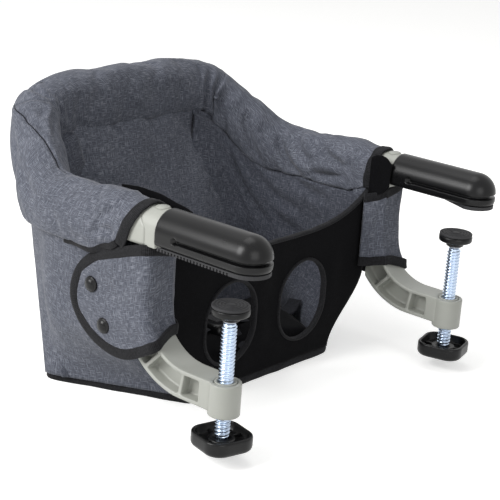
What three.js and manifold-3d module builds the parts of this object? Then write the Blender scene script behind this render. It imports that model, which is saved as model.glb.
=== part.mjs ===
// Clamp-on child seat: a fabric bucket hangs from a bent tube, and two folding C-shaped arms clamp it
// to a board between toothed pads above and screw-driven pressure pads below.
// Millimetres. +Z up, +Y away from the clamped board, +X to the child's left, which is the left_ side.
// The origin is on the board's upper face, at its edge, midway between the two arms.

import * as THREE from "three";
import Module from "manifold-3d";
import { mergeVertices } from "three/addons/utils/BufferGeometryUtils.js";

const wasm = await Module();
wasm.setup();

// General sizes
const GAP = 0.3; // between pieces that touch
const OVERRUN = 3; // how far a cut runs past what it cuts
const MERGE_DISTANCE = 0.0005;
const JAW_OPENING = 38; // board thickness that the clamps are drawn at
const ARM_SPACING = 406; // between the two arms' centre planes
const ARM_X = ARM_SPACING / 2;

// Clamp arm
const ARM_WIDTH = 32;
const ARM_WEB = 5;
const ARM_FLANGE = 4.5;
const ARM_RIB = 4.5;
const INNER_BEND_RADIUS = 58;
const INNER_BEND_Y = -40;
const INNER_BEND_DROP = 62;
const OUTER_BEND_RADIUS = 92;
const OUTER_BEND_Y = -36;
const OUTER_BEND_DROP = 60;
const ARM_ROOT_Y = 38; // where the outer edge meets the neck
const ARM_SHOULDER_DROP = 22;
const SCREW_Y = -83;
const BOSS_RADIUS = 17;
const BOSS_DROP = 121;
const BOSS_HEIGHT = 36;
const BEND_RIB_ANGLES = [-54, -20]; // degrees, measured at the inner bend's centre

// Neck and fold pivot
const PIVOT_Y = 17;
const NECK_RADIUS = 22;
const NECK_BASE = 0.6;
const NECK_TOP = 39;
const NECK_SPRING = 17; // height where the rounded top starts
const NECK_FRONT_Y = 5;
const SLOT_LOW = 9.7;
const SLOT_HIGH = 28.3;
const TONGUE_RADIUS = 9.5;
const NECK_WALL = 5;
const PIN_RADIUS = 4;
const PIN_HEAD_RADIUS = 6.5;
const PIN_HEAD = 2;
const PIN_FLOOR = 1.5; // left under the pin
const BEAM_WIDTH = 24;
const BEAM_LOW = 9;
const BEAM_HIGH = 30;
const BEAM_FRONT_Y = -106;

// Grip and toothed pad
const GRIP_RADIUS = 23.5;
const GRIP_BASE = 4.4;
const GRIP_SPRING = 17;
const GRIP_NOSE_Y = -103; // centre of the round nose
const GROOVE_LOW = 13.4;
const GROOVE_HEIGHT = 3.8;
const GROOVE_DEPTH = 6.5;
const GROOVE_BACK_Y = -22;
const GROOVE_END_RADIUS = 3.4;
const GRIP_SCREW_Y = -48;
const GRIP_SCREW_RADIUS = 2.5;
const GRIP_SCREW_HEAD_RADIUS = 5;
const GRIP_SCREW_HEAD = 2.5;
const GRIP_SCREW_TOP = 27;
const PAD_RADIUS = 22.4;
const PAD_HEIGHT = 4.1;
const TOOTH_PITCH = 4.4;
const TOOTH_GAP = 2.1;
const TOOTH_DEPTH = 2.4;
const TOOTH_HEIGHT = 2.7;
const TOOTH_COUNT = 22;
const FIRST_TOOTH_Y = -1.5;

// Clamp screw, nut, knob and pressure pad
const SCREW_RADIUS = 8;
const SCREW_ROOT_RADIUS = 6.5;
const SCREW_PITCH = 4;
const SCREW_CORE_RADIUS = 5;
const THREAD_TOP = -58;
const THREAD_BOTTOM = -182;
const SCREW_FOOT = -189;
const SCREW_HEAD_TOP = -45.5;
const NUT_RADIUS = 12;
const NUT_BORE = 8.35;
const KNOB_TOP = -177;
const KNOB_BOTTOM = -193.5;
const KNOB_HALF = 28;
const KNOB_CORNER = 17.5;
const KNOB_RIM = 5;
const KNOB_DISH = 9;
const KNOB_HUB_RADIUS = 14;
const KNOB_HUB_TOP = -182.5;
const PRESSURE_RADIUS = 20;
const FACING_HEIGHT = 3;
const PRESSURE_HEIGHT = 7;
const SOCKET_RADIUS = 10.5;
const SOCKET_DROP = 6;
const CLIP_RADIUS = 7.5;
const CLIP_HEIGHT = 1.2;

// Tube frame
const TUBE_RADIUS = 11;
const TUBE_WALL = 1.5;
const FRAME_LOW = 19; // height of the tube's centre along the arms
const FRAME_RISE = 75; // how much higher the back run is
const FRAME_BACK_Y = 289;
const TUBE_START_Y = 66;
const FITTING_RADIUS = 15;
const FITTING_START_Y = 41.5;
const FITTING_END_Y = 96;
const RIVET_RADIUS = 2.5;
const RIVET_Y = 84;
const RIVET_HEAD_RADIUS = 4.5;
const RIVET_HEAD = 1.5;
// Shares of ARM_X, FRAME_BACK_Y and FRAME_RISE for each point of half the frame
const FRAME_SHARES = [
  [1, 0.305, 0],
  [1, 0.44, -0.04],
  [0.995, 0.585, -0.06],
  [0.95, 0.7, 0.06],
  [0.872, 0.8, 0.32],
  [0.795, 0.89, 0.58],
  [0.73, 0.95, 0.77],
  [0.63, 0.985, 0.89],
  [0.49, 0.998, 0.965],
  [0.3, 1, 1],
  [0, 1, 1],
];

// Fabric bucket
const PANEL = 3; // outer fabric with its stiffener
const LINING = 4;
const HEM_Z = -200.7; // lower edge of the panels
const HEM_BASE = -209; // lower edge of the hem tape
const HEM_TAPE = 4.6;
const FRONT_Y = 34.5;
const BACK_FOOT_Y = 197;
const BACK_TOP_Y = 266;
const FRONT_INSET = 79; // from an arm's centre plane in to the front corner
const BACK_INSET = 1;
const SIDE_OVERHANG = 14;
const SIDE_TUCK = 19;
const FRONT_HALF = ARM_X - FRONT_INSET;
const BACK_HALF = ARM_X - BACK_INSET;
const SIDE_TOP_X = ARM_X + SIDE_OVERHANG;
const TUCK_X = ARM_X - SIDE_TUCK; // side fabric inside the arms
const SIDE_TOP_Z = -8;
const FRONT_CORNER_Z = -7;
const FRONT_SAG = 36;
const BACK_TOP_Z = 14;
const LEG_X = 64;
const LEG_HALF_WIDTH = 43;
const LEG_HALF_HEIGHT = 50;
const LEG_Z = -126;

// Cuffs and collar over the tube
const CUFF_RADIUS = 24;
const COLLAR_RADIUS = 25.5;
const CUFF_WALL = 4;
const CUFF_HEM = -23;
const CUFF_MOUTH_HEM = -6;
const CUFF_INNER_HEM = -16;
const COLLAR_HEM = 0;
const COLLAR_INNER_HEM = 54;
const COLLAR_TUCK = 14; // how far the back skirt leans in to meet the back panel
const CUFF_SPLIT_GAP = 6.5;
const CUFF_SPLIT_Y = OUTER_BEND_Y + OUTER_BEND_RADIUS + CUFF_SPLIT_GAP; // behind the arm's sweep
const MOUTH_TOP_Y = 27;
const MOUTH_FOOT_Y = 48;
const MOUTH_TAPE = 11;
const MOUTH_WALL = 2.2;
const MOUTH_RADIUS = 25;
const SEAM_GAP_SHARE = 0.0006; // of the frame, half the gap at that seam
const LINING_START_Y = 74;
const SEAM_SHARE = 0.6; // of the half frame, where the cuff meets the back collar

// Guard beside the neck: [y, lower edge, upper edge]
const GUARD_WALL = 1.4;
const GUARD_SHORT = [
  [3, 8, 31],
  [12, -3, 36],
  [24, -9, 38],
  [37, -10.3, 33],
];
const GUARD_LONG = [
  [0, 18, 33],
  [14, -3, 36],
  [26, -9, 38],
  [37, -11.2, 40],
  [48, 18, 41.5],
  [62, 31, 42],
  [80, 33, 42],
  [104, 35, 39],
];

// Flap and its press studs
const FLAP_OVERHANG = 22.6; // from the arm's centre plane to the flap's inner face
const FLAP_LEAN = 4.6; // how much nearer its rear lies
const FLAP_X = ARM_X + FLAP_OVERHANG;
const FLAP_WALL = 1.8;
const FLAP_TAPE = 8;
const FLAP_TAPE_WALL = 3;
const STUD_CAP_RADIUS = 7;
const STUD_CAP = 3.5;
const STUD_SHANK = 2.6;
const STUD_HOLE = 3;
const UPPER_STUD = [103, -66];
const LOWER_STUD = [80, -106];

// Seat base, cushions and harness
const SOLE = 2;
const SEAT_BOARD = 5;
const SEAT_INSET = 9;
const SEAT_CUSHION = 20;
const SEAT_CROWN = 7;
const BACK_CUSHION = 16;
const BACK_CROWN = 6;
const BACK_CUSHION_INSET = 34;
const BACK_CUSHION_TAPER = 52;
const BACK_CUSHION_FOOT = BACK_HALF - BACK_CUSHION_INSET;
const BACK_CUSHION_HALF = BACK_CUSHION_FOOT - BACK_CUSHION_TAPER;
const BACK_LEAN = 0.2; // how far the back runs rearwards for each step up
const WEBBING_WIDTH = 25;
const WEBBING = 1.6;
const BUCKLE_WIDTH = 44;
const BUCKLE_LENGTH = 50;
const BUCKLE_HEIGHT = 15;
const BUTTON_WIDTH = 22;
const BUTTON_HEIGHT = 5;
const BUTTON_STANDS = 3;

const BELT_INSET = 49.5; // from the side fabric's foot to the belt's sewn end
// Webbing routes: [y, z] over the seat's front edge, and for the waist belt the share of its way to
// the side, its height and how far it leans there
const CROTCH_STRAP = [
  [43, -199],
  [43, -187],
  [49, -180.4],
  [64, -177.4],
  [79, -172.4],
  [86.2, -166.5],
];
const WAIST_BELT = [
  [0, -164, 0],
  [0.12, -168, 0],
  [0.289, -171.6, 0],
  [0.52, -174.9, 0],
  [0.766, -178.6, 0.15],
  [0.904, -178, 0.3],
  [1, -168, 0.38],
];

// Facets per full turn
const FINE = 24;
const ROUND = 16;
const SMALL = 8;
const ARCH_FACETS = 6;
const ARC = 7; // facets of a half turn in a drawn outline
const CORNER = 3;
const TUBE_STEPS = 28;
const TUBE_SIDES = 4; // facets of half the tube
const THREAD_SIDES = 8;
const THREAD_STEPS = 3; // rings in each turn of the thread

const SLATE = { color: 0x6a7080, roughness: 0.95, metalness: 0 };
const SHADE = { color: 0x5c6272, roughness: 0.95, metalness: 0 };
const BLACK_CLOTH = { color: 0x15161a, roughness: 0.9, metalness: 0 };
const TAPE = { color: 0x232428, roughness: 0.85, metalness: 0 };
const NYLON = { color: 0xc9cac4, roughness: 0.5, metalness: 0 };
const BLACK_PLASTIC = { color: 0x242527, roughness: 0.4, metalness: 0 };
const RUBBER = { color: 0x1c1c1e, roughness: 0.7, metalness: 0 };
const ZINC = { color: 0xc4d2e2, roughness: 0.28, metalness: 1 };
const STEEL = { color: 0x9a9da2, roughness: 0.4, metalness: 1 };
const BOARD = { color: 0x2a2a2c, roughness: 0.8, metalness: 0 };

const lerp = THREE.MathUtils.lerp;
const smooth = THREE.MathUtils.smoothstep;
const V3 = (x, y, z) => new THREE.Vector3(x, y, z);
const UP = V3(0, 0, 1);

// Solids, cuts and joins

/** A closed three.js geometry as a solid that can be cut and joined. */
function solidFrom(geometry) {
  const bare = geometry.index ? geometry.toNonIndexed() : geometry.clone();
  bare.deleteAttribute("normal");
  bare.deleteAttribute("uv");
  const merged = mergeVertices(bare, MERGE_DISTANCE);
  const vertProperties = merged.attributes.position.array;
  const triVerts = new Uint32Array(merged.index.array);
  return new wasm.Manifold(new wasm.Mesh({ numProp: 3, vertProperties, triVerts }));
}

/** A solid's faces as a three.js geometry. */
function geometryFrom(solid) {
  const { vertProperties, triVerts } = solid.getMesh();
  const geometry = new THREE.BufferGeometry();
  geometry.setAttribute("position", new THREE.BufferAttribute(new Float32Array(vertProperties), 3));
  geometry.setIndex(new THREE.BufferAttribute(new Uint32Array(triVerts), 1));
  geometry.computeVertexNormals();
  return geometry;
}

/** A solid from points and triangles, turned to face outwards. */
function closedBody(points, triangles) {
  const volume = triangles.reduce((sum, [a, b, c]) => {
    const normal = points[b].clone().cross(points[c]);
    return sum + points[a].dot(normal);
  }, 0);
  const wound = volume < 0 ? triangles.map(([a, b, c]) => [a, c, b]) : triangles;
  const geometry = new THREE.BufferGeometry().setFromPoints(points);
  geometry.setIndex(wound.flat());
  return solidFrom(geometry);
}

/** A plan outline in X and Y, raised from one height to another. */
function upright(shape, low, high, sides = ARC) {
  const options = { depth: high - low, bevelEnabled: false, curveSegments: sides };
  const geometry = new THREE.ExtrudeGeometry(shape, options);
  geometry.translate(0, 0, low);
  return solidFrom(geometry);
}

/** A side outline in Y and Z, run across from one X to another. */
function crosswise(shape, from, to, sides = ARC) {
  const options = { depth: to - from, bevelEnabled: false, curveSegments: sides };
  const geometry = new THREE.ExtrudeGeometry(shape, options);
  geometry.applyMatrix4(new THREE.Matrix4().set(0, 0, 1, 0, 1, 0, 0, 0, 0, 1, 0, 0, 0, 0, 0, 1));
  geometry.translate(from, 0, 0);
  return solidFrom(geometry);
}

/** An end outline in X and Z, run along from one Y to another. */
function lengthwise(shape, from, to, sides = ARC) {
  const options = { depth: to - from, bevelEnabled: false, curveSegments: sides };
  const geometry = new THREE.ExtrudeGeometry(shape, options);
  geometry.applyMatrix4(new THREE.Matrix4().set(1, 0, 0, 0, 0, 0, -1, 0, 0, 1, 0, 0, 0, 0, 0, 1));
  geometry.translate(0, to, 0);
  return solidFrom(geometry);
}

/** An upright round bar. */
function post(x, y, radius, low, high, sides = ROUND) {
  const geometry = new THREE.CylinderGeometry(radius, radius, high - low, sides);
  geometry.rotateX(Math.PI / 2);
  geometry.translate(x, y, (low + high) / 2);
  return solidFrom(geometry);
}

/** A round bar that runs across, along X. */
function crossBar(y, z, radius, from, to, sides = ROUND) {
  const geometry = new THREE.CylinderGeometry(radius, radius, to - from, sides);
  geometry.rotateZ(Math.PI / 2);
  geometry.translate((from + to) / 2, y, z);
  return solidFrom(geometry);
}

/** A box between two corners. */
function block(x0, x1, y0, y1, z0, z1) {
  const geometry = new THREE.BoxGeometry(x1 - x0, y1 - y0, z1 - z0);
  geometry.translate((x0 + x1) / 2, (y0 + y1) / 2, (z0 + z1) / 2);
  return solidFrom(geometry);
}

/** A closed outline through points. */
function outline(points) {
  return new THREE.Shape(points.map(([a, b]) => new THREE.Vector2(a, b)));
}

/** Walls between rings of points, as triangles. */
function ringWalls(rings) {
  const count = rings[0].length;
  const triangles = [];
  for (let i = 0; i + 1 < rings.length; i += 1) {
    for (let j = 0; j < count; j += 1) {
      const a = i * count + j;
      const b = i * count + ((j + 1) % count);
      triangles.push([a, b, b + count], [a, b + count, a + count]);
    }
  }
  return triangles;
}

/** A body through rings of points, its ends closed in the way the flat ring triangulates. */
function loft(rings, flat) {
  const triangles = ringWalls(rings);
  const last = (rings.length - 1) * rings[0].length;
  const forward = THREE.ShapeUtils.area(flat) > 0;
  for (const [a, b, c] of THREE.ShapeUtils.triangulateShape(flat, [])) {
    const [p, q] = forward ? [b, c] : [c, b];
    triangles.push([a, q, p], [last + a, last + p, last + q]);
  }
  return closedBody(rings.flat(), triangles);
}

/** A body through folded rings, whose first half lies over the second half listed backwards. */
function foldedLoft(rings) {
  const count = rings[0].length;
  const triangles = ringWalls(rings);
  const last = (rings.length - 1) * count;
  const quad = (a, b, c, d) => triangles.push([a, b, c], [a, c, d]);
  for (let i = 0; i + 1 < count / 2; i += 1) {
    const [a, b, c, d] = [i, i + 1, count - 2 - i, count - 1 - i];
    quad(b, a, d, c);
    quad(last + a, last + b, last + c, last + d);
  }
  return closedBody(rings.flat(), triangles);
}

/** A closed sheet between an outer and an inner grid of points. */
function sheet(outer, inner) {
  const rows = outer.length;
  const columns = outer[0].length;
  const half = rows * columns;
  const at = (i, j) => i * columns + j;
  const triangles = [];
  const quad = (a, b, c, d) => triangles.push([a, b, c], [a, c, d]);
  for (let i = 0; i + 1 < rows; i += 1) {
    for (let j = 0; j + 1 < columns; j += 1) {
      const [a, b, c, d] = [at(i, j), at(i, j + 1), at(i + 1, j + 1), at(i + 1, j)];
      quad(a, b, c, d);
      quad(half + d, half + c, half + b, half + a);
    }
  }
  const rim = [];
  for (let j = 0; j < columns - 1; j += 1) rim.push(at(0, j));
  for (let i = 0; i < rows - 1; i += 1) rim.push(at(i, columns - 1));
  for (let j = columns - 1; j > 0; j -= 1) rim.push(at(rows - 1, j));
  for (let i = rows - 1; i > 0; i -= 1) rim.push(at(i, 0));
  rim.forEach((a, k) => {
    const b = rim[(k + 1) % rim.length];
    quad(a, half + a, half + b, b);
  });
  return closedBody([...outer.flat(), ...inner.flat()], triangles);
}

/** A grid of points from a function of two shares that run from 0 to 1. */
function grid(rows, columns, place) {
  return Array.from({ length: rows + 1 }, (_, i) =>
    Array.from({ length: columns + 1 }, (__, j) => place(i / rows, j / columns)),
  );
}

/** A flat strip along a route: each stop gives its middle and half its width as a vector. */
function strip(stops, thickness, facing) {
  const rings = stops.map(([middle, halfWidth], i) => {
    const before = stops[Math.max(i - 1, 0)][0];
    const after = stops[Math.min(i + 1, stops.length - 1)][0];
    const run = after.clone().sub(before).normalize();
    const out = run.clone().cross(halfWidth).normalize().multiplyScalar((thickness / 2) * facing);
    return [
      middle.clone().add(halfWidth).add(out),
      middle.clone().sub(halfWidth).add(out),
      middle.clone().sub(halfWidth).sub(out),
      middle.clone().add(halfWidth).sub(out),
    ];
  });
  return foldedLoft(rings);
}

// Clamp arm, made for the right side at x = -ARM_X

const ARM_IN = -ARM_X + ARM_WIDTH / 2; // inner face, towards the child
const ARM_OUT = -ARM_X - ARM_WIDTH / 2;

/** The point at an angle on one of the arm's two bends. */
function onBend(y, drop, radius, degrees) {
  const angle = THREE.MathUtils.degToRad(degrees);
  return [y + radius * Math.cos(angle), -drop + radius * Math.sin(angle)];
}

/** Points along a bend, from one angle to another. */
function bend(y, drop, radius, from, to, steps) {
  return Array.from({ length: steps + 1 }, (_, i) =>
    onBend(y, drop, radius, lerp(from, to, i / steps)),
  );
}

/** The arm's side outline, drawn in by a margin all round. */
function armOutline(margin) {
  const inner = INNER_BEND_RADIUS + margin;
  const outer = OUTER_BEND_RADIUS - margin;
  return outline([
    [SCREW_Y, -OUTER_BEND_DROP - outer],
    ...bend(OUTER_BEND_Y, OUTER_BEND_DROP, outer, -90, 0, 12),
    [OUTER_BEND_Y + outer, -ARM_SHOULDER_DROP - OVERRUN * 5],
    [OUTER_BEND_Y + outer - OVERRUN, -ARM_SHOULDER_DROP],
    [ARM_ROOT_Y, -OVERRUN - margin],
    [INNER_BEND_Y + inner, -OVERRUN - margin],
    ...bend(INNER_BEND_Y, INNER_BEND_DROP, inner, 0, -90, 10),
    [SCREW_Y, -INNER_BEND_DROP - inner],
  ]);
}

/** The hollow between two ribs of the bend. */
function bendPocket(from, to) {
  const inner = INNER_BEND_RADIUS + ARM_FLANGE;
  const outer = OUTER_BEND_RADIUS - ARM_FLANGE;
  const innerRib = THREE.MathUtils.radToDeg(ARM_RIB / 2 / inner);
  const outerRib = THREE.MathUtils.radToDeg(ARM_RIB / 2 / outer);
  return outline([
    ...bend(OUTER_BEND_Y, OUTER_BEND_DROP, outer, from + outerRib, to - outerRib, 5),
    ...bend(INNER_BEND_Y, INNER_BEND_DROP, inner, to - innerRib, from + innerRib, 5),
  ]);
}

/** Every hollow of the arm's side, as seen from one side. */
function armPockets() {
  const inner = INNER_BEND_DROP + INNER_BEND_RADIUS + ARM_FLANGE;
  const outer = OUTER_BEND_DROP + OUTER_BEND_RADIUS - ARM_FLANGE;
  const nearBoss = SCREW_Y + BOSS_RADIUS + ARM_RIB;
  const straight = outline([
    [nearBoss, -outer],
    [INNER_BEND_Y - ARM_RIB / 2, -outer],
    [INNER_BEND_Y - ARM_RIB / 2, -inner],
    [nearBoss, -inner],
  ]);
  const [low, high] = BEND_RIB_ANGLES;
  const top = outline([
    [INNER_BEND_Y + INNER_BEND_RADIUS + ARM_FLANGE, -INNER_BEND_DROP + ARM_RIB / 2],
    [OUTER_BEND_Y + OUTER_BEND_RADIUS - ARM_FLANGE, -INNER_BEND_DROP + ARM_RIB / 2],
    [OUTER_BEND_Y + OUTER_BEND_RADIUS - ARM_FLANGE * 1.6, -ARM_SHOULDER_DROP - ARM_FLANGE],
    [INNER_BEND_Y + INNER_BEND_RADIUS + ARM_FLANGE, -ARM_SHOULDER_DROP - ARM_FLANGE],
  ]);
  return [straight, bendPocket(-90, low), bendPocket(low, high), bendPocket(high, 0), top];
}

/** The neck's end outline: flat foot, upright sides and a round top. */
function archOutline(radius, base, spring, top) {
  const shape = new THREE.Shape();
  shape.moveTo(-ARM_X - radius, base);
  shape.lineTo(-ARM_X + radius, base);
  shape.lineTo(-ARM_X + radius, spring);
  shape.absellipse(-ARM_X, spring, radius, top - spring, 0, Math.PI, false, 0);
  return shape;
}

/** The room the tube's tongue needs in the neck as the arm folds inwards. */
function foldSlot() {
  const reach = NECK_RADIUS + OVERRUN;
  const width = TONGUE_RADIUS + GAP * 2;
  const round = post(-ARM_X, PIVOT_Y, width, SLOT_LOW, SLOT_HIGH, FINE);
  const rear = block(-ARM_X - width, -ARM_X + reach, PIVOT_Y, PIVOT_Y + reach, SLOT_LOW, SLOT_HIGH);
  const inward = block(-ARM_X, -ARM_X + reach, PIVOT_Y - width, PIVOT_Y + reach, SLOT_LOW, SLOT_HIGH);
  return round.add(rear).add(inward);
}

function makeArm() {
  let arm = crosswise(armOutline(0), ARM_OUT, ARM_IN);
  const pocketDepth = (ARM_WIDTH - ARM_WEB) / 2;
  for (const pocket of armPockets()) {
    arm = arm.subtract(crosswise(pocket, ARM_OUT - OVERRUN, ARM_OUT + pocketDepth));
    arm = arm.subtract(crosswise(pocket, ARM_IN - pocketDepth, ARM_IN + OVERRUN));
  }
  arm = arm.add(post(-ARM_X, SCREW_Y, BOSS_RADIUS, -BOSS_DROP - BOSS_HEIGHT, -BOSS_DROP, FINE));
  arm = arm.subtract(
    post(-ARM_X, SCREW_Y, NUT_RADIUS + GAP, -BOSS_DROP - BOSS_HEIGHT - OVERRUN, OVERRUN - BOSS_DROP),
  );
  const arch = archOutline(NECK_RADIUS, NECK_BASE, NECK_SPRING, NECK_TOP);
  const neckEnd = PIVOT_Y + NECK_RADIUS;
  const neckPlan = post(-ARM_X, PIVOT_Y, NECK_RADIUS, NECK_BASE - OVERRUN, NECK_TOP + OVERRUN, FINE).add(
    block(-ARM_X - NECK_RADIUS, -ARM_X + NECK_RADIUS, NECK_FRONT_Y, PIVOT_Y,
      NECK_BASE - OVERRUN, NECK_TOP + OVERRUN),
  );
  const neck = lengthwise(arch, NECK_FRONT_Y, neckEnd).intersect(neckPlan);
  const footTop = FRAME_LOW - FITTING_RADIUS - GAP * 2; // clear of the fitting as the arm folds
  const foot = block(ARM_OUT, ARM_IN, INNER_BEND_Y + INNER_BEND_RADIUS, ARM_ROOT_Y,
    -OVERRUN - ARM_FLANGE, footTop);
  const beam = block(-ARM_X - BEAM_WIDTH / 2, -ARM_X + BEAM_WIDTH / 2, BEAM_FRONT_Y,
    NECK_FRONT_Y + OVERRUN, BEAM_LOW, BEAM_HIGH);
  arm = arm.add(neck).add(foot).add(beam).subtract(foldSlot());
  arm = arm.subtract(
    post(-ARM_X, PIVOT_Y, PIN_RADIUS + GAP / 2, NECK_BASE + PIN_FLOOR, NECK_TOP + OVERRUN),
  );
  const pilot = post(-ARM_X, GRIP_SCREW_Y, GRIP_SCREW_RADIUS + GAP, BEAM_LOW - OVERRUN,
    GRIP_SCREW_TOP + GAP, SMALL);
  const headRoom = post(-ARM_X, PIVOT_Y, PIN_HEAD_RADIUS + GAP, NECK_TOP - PIN_HEAD,
    NECK_TOP + OVERRUN);
  return arm.subtract(pilot).subtract(headRoom);
}

function makeFoldPin() {
  const head = NECK_TOP - PIN_HEAD + GAP;
  const shank = post(-ARM_X, PIVOT_Y, PIN_RADIUS, NECK_BASE + PIN_FLOOR + GAP, head + GAP, ROUND);
  const top = post(-ARM_X, PIVOT_Y, PIN_HEAD_RADIUS, head, NECK_TOP, ROUND);
  return shank.add(top);
}

// Grip housing with its springy lower lip, and the toothed pad

/** The grip's plan: straight sides and a round nose, drawn in by a margin. */
function gripPlan(radius, back) {
  const shape = new THREE.Shape();
  shape.moveTo(-ARM_X + radius, back);
  shape.absarc(-ARM_X, GRIP_NOSE_Y, radius, 0, Math.PI, true);
  shape.lineTo(-ARM_X - radius, back);
  return shape;
}

/** One cross section of the grip, narrowed towards the nose. */
function gripRing(y, share) {
  const radius = GRIP_RADIUS * share;
  const steps = 10;
  const points = [V3(-ARM_X - radius, y, GRIP_BASE), V3(-ARM_X + radius, y, GRIP_BASE)];
  for (let i = 0; i <= steps; i += 1) {
    const angle = (Math.PI * i) / steps;
    const [across, up] = [radius * Math.cos(angle), radius * Math.sin(angle)];
    points.push(V3(-ARM_X + across, y, GRIP_SPRING + up));
  }
  return points;
}

function makeGrip() {
  const back = NECK_FRONT_Y - GAP;
  const rings = [gripRing(back, 1), gripRing(GRIP_NOSE_Y, 1)];
  const noseSteps = 6;
  for (let i = 1; i <= noseSteps; i += 1) {
    const angle = (Math.PI / 2) * (i / (noseSteps + 0.35));
    rings.push(gripRing(GRIP_NOSE_Y - GRIP_RADIUS * Math.sin(angle), Math.cos(angle)));
  }
  const flat = rings[0].map((p) => new THREE.Vector2(p.x, p.z));
  let grip = loft(rings, flat);
  const top = GROOVE_LOW + GROOVE_HEIGHT;
  const inside = upright(gripPlan(GRIP_RADIUS - GROOVE_DEPTH, GROOVE_BACK_Y + OVERRUN * 3),
    GROOVE_LOW - OVERRUN, top + OVERRUN);
  const around = upright(gripPlan(GRIP_RADIUS + OVERRUN, GROOVE_BACK_Y), GROOVE_LOW, top);
  const middle = GROOVE_LOW + GROOVE_HEIGHT / 2;
  const reach = GRIP_RADIUS + OVERRUN;
  const rounded = crossBar(GROOVE_BACK_Y, middle, GROOVE_END_RADIUS, -ARM_X - reach, -ARM_X + reach,
    SMALL);
  grip = grip.subtract(around.add(rounded).subtract(inside));
  const hollow = block(-ARM_X - BEAM_WIDTH / 2 - GAP, -ARM_X + BEAM_WIDTH / 2 + GAP,
    BEAM_FRONT_Y - GAP, NECK_FRONT_Y + OVERRUN, BEAM_LOW - GAP, BEAM_HIGH + GAP);
  grip = grip.subtract(hollow);
  grip = grip.subtract(post(-ARM_X, GRIP_SCREW_Y, GRIP_SCREW_RADIUS + GAP, 0, BEAM_LOW, SMALL));
  const headTop = GRIP_BASE + GRIP_SCREW_HEAD;
  return grip.subtract(
    post(-ARM_X, GRIP_SCREW_Y, GRIP_SCREW_HEAD_RADIUS + GAP, 0, headTop + GAP, SMALL),
  );
}

function makeGripScrew() {
  const top = GRIP_BASE + GRIP_SCREW_HEAD;
  const head = post(-ARM_X, GRIP_SCREW_Y, GRIP_SCREW_HEAD_RADIUS, GRIP_BASE, top, SMALL);
  const shank = post(-ARM_X, GRIP_SCREW_Y, GRIP_SCREW_RADIUS, top - GAP, GRIP_SCREW_TOP, SMALL);
  return head.add(shank);
}

function makeGripPad() {
  const back = NECK_FRONT_Y - GAP - OVERRUN;
  let pad = upright(gripPlan(PAD_RADIUS, back), 0, PAD_HEIGHT);
  for (let i = 0; i < TOOTH_COUNT; i += 1) {
    const y = FIRST_TOOTH_Y - i * TOOTH_PITCH;
    for (const side of [-1, 1]) {
      const edge = -ARM_X + side * PAD_RADIUS;
      const low = Math.min(edge - side * TOOTH_DEPTH, edge + side * OVERRUN);
      const high = Math.max(edge - side * TOOTH_DEPTH, edge + side * OVERRUN);
      pad = pad.subtract(block(low, high, y - TOOTH_GAP / 2, y + TOOTH_GAP / 2, -OVERRUN, TOOTH_HEIGHT));
    }
  }
  return pad;
}

// Clamp screw, its nut, the knob and the swivelling pressure pad

/** One ring of the threaded bar, with the thread's radius where it winds. */
function screwRing(z, radiusAt) {
  return Array.from({ length: THREAD_SIDES }, (_, j) => {
    const angle = (2 * Math.PI * j) / THREAD_SIDES;
    const radius = radiusAt(z, angle);
    return V3(radius * Math.cos(angle), SCREW_Y + radius * Math.sin(angle), z);
  });
}

/** Radius of a right-handed trapezoid thread at a height and an angle. */
function threadRadius(z, angle) {
  const turn = z / SCREW_PITCH - angle / (2 * Math.PI);
  const phase = turn - Math.floor(turn);
  const rise = smooth(Math.abs(phase * 2 - 1), 0.3, 0.75);
  return lerp(SCREW_ROOT_RADIUS, SCREW_RADIUS, rise);
}

function makeClampScrew() {
  const plain = (radius) => () => radius;
  const rings = [screwRing(SCREW_FOOT, plain(SCREW_ROOT_RADIUS)),
    screwRing(THREAD_BOTTOM, plain(SCREW_ROOT_RADIUS))];
  const count = Math.round(((THREAD_TOP - THREAD_BOTTOM) / SCREW_PITCH) * THREAD_STEPS);
  for (let i = 1; i < count; i += 1) {
    rings.push(screwRing(lerp(THREAD_BOTTOM, THREAD_TOP, i / count), threadRadius));
  }
  rings.push(screwRing(THREAD_TOP, plain(SCREW_ROOT_RADIUS)));
  rings.push(screwRing(THREAD_TOP + GAP, plain(SCREW_CORE_RADIUS)));
  rings.push(screwRing(SCREW_HEAD_TOP, plain(SCREW_CORE_RADIUS)));
  const flat = rings[0].map((p) => new THREE.Vector2(p.x, p.y));
  return loft(rings, flat);
}

function makeNut() {
  const low = -BOSS_DROP - BOSS_HEIGHT;
  const body = post(-ARM_X, SCREW_Y, NUT_RADIUS, low, -BOSS_DROP + GAP);
  return body.subtract(post(-ARM_X, SCREW_Y, NUT_BORE, low - OVERRUN, OVERRUN - BOSS_DROP));
}

/** The knob's plan: four flat sides and wide round corners, turned a little on its screw. */
function knobPlan(half, corner) {
  const shape = new THREE.Shape();
  const turn = THREE.MathUtils.degToRad(-14);
  const flat = half - corner;
  for (const quarter of [0, 1, 2, 3]) {
    const angle = turn + (quarter * Math.PI) / 2;
    const [x, y] = [flat * Math.cos(angle) - flat * Math.sin(angle),
      flat * Math.sin(angle) + flat * Math.cos(angle)];
    shape.absarc(x - ARM_X, SCREW_Y + y, corner, angle, angle + Math.PI / 2, false);
  }
  return shape;
}

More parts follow.
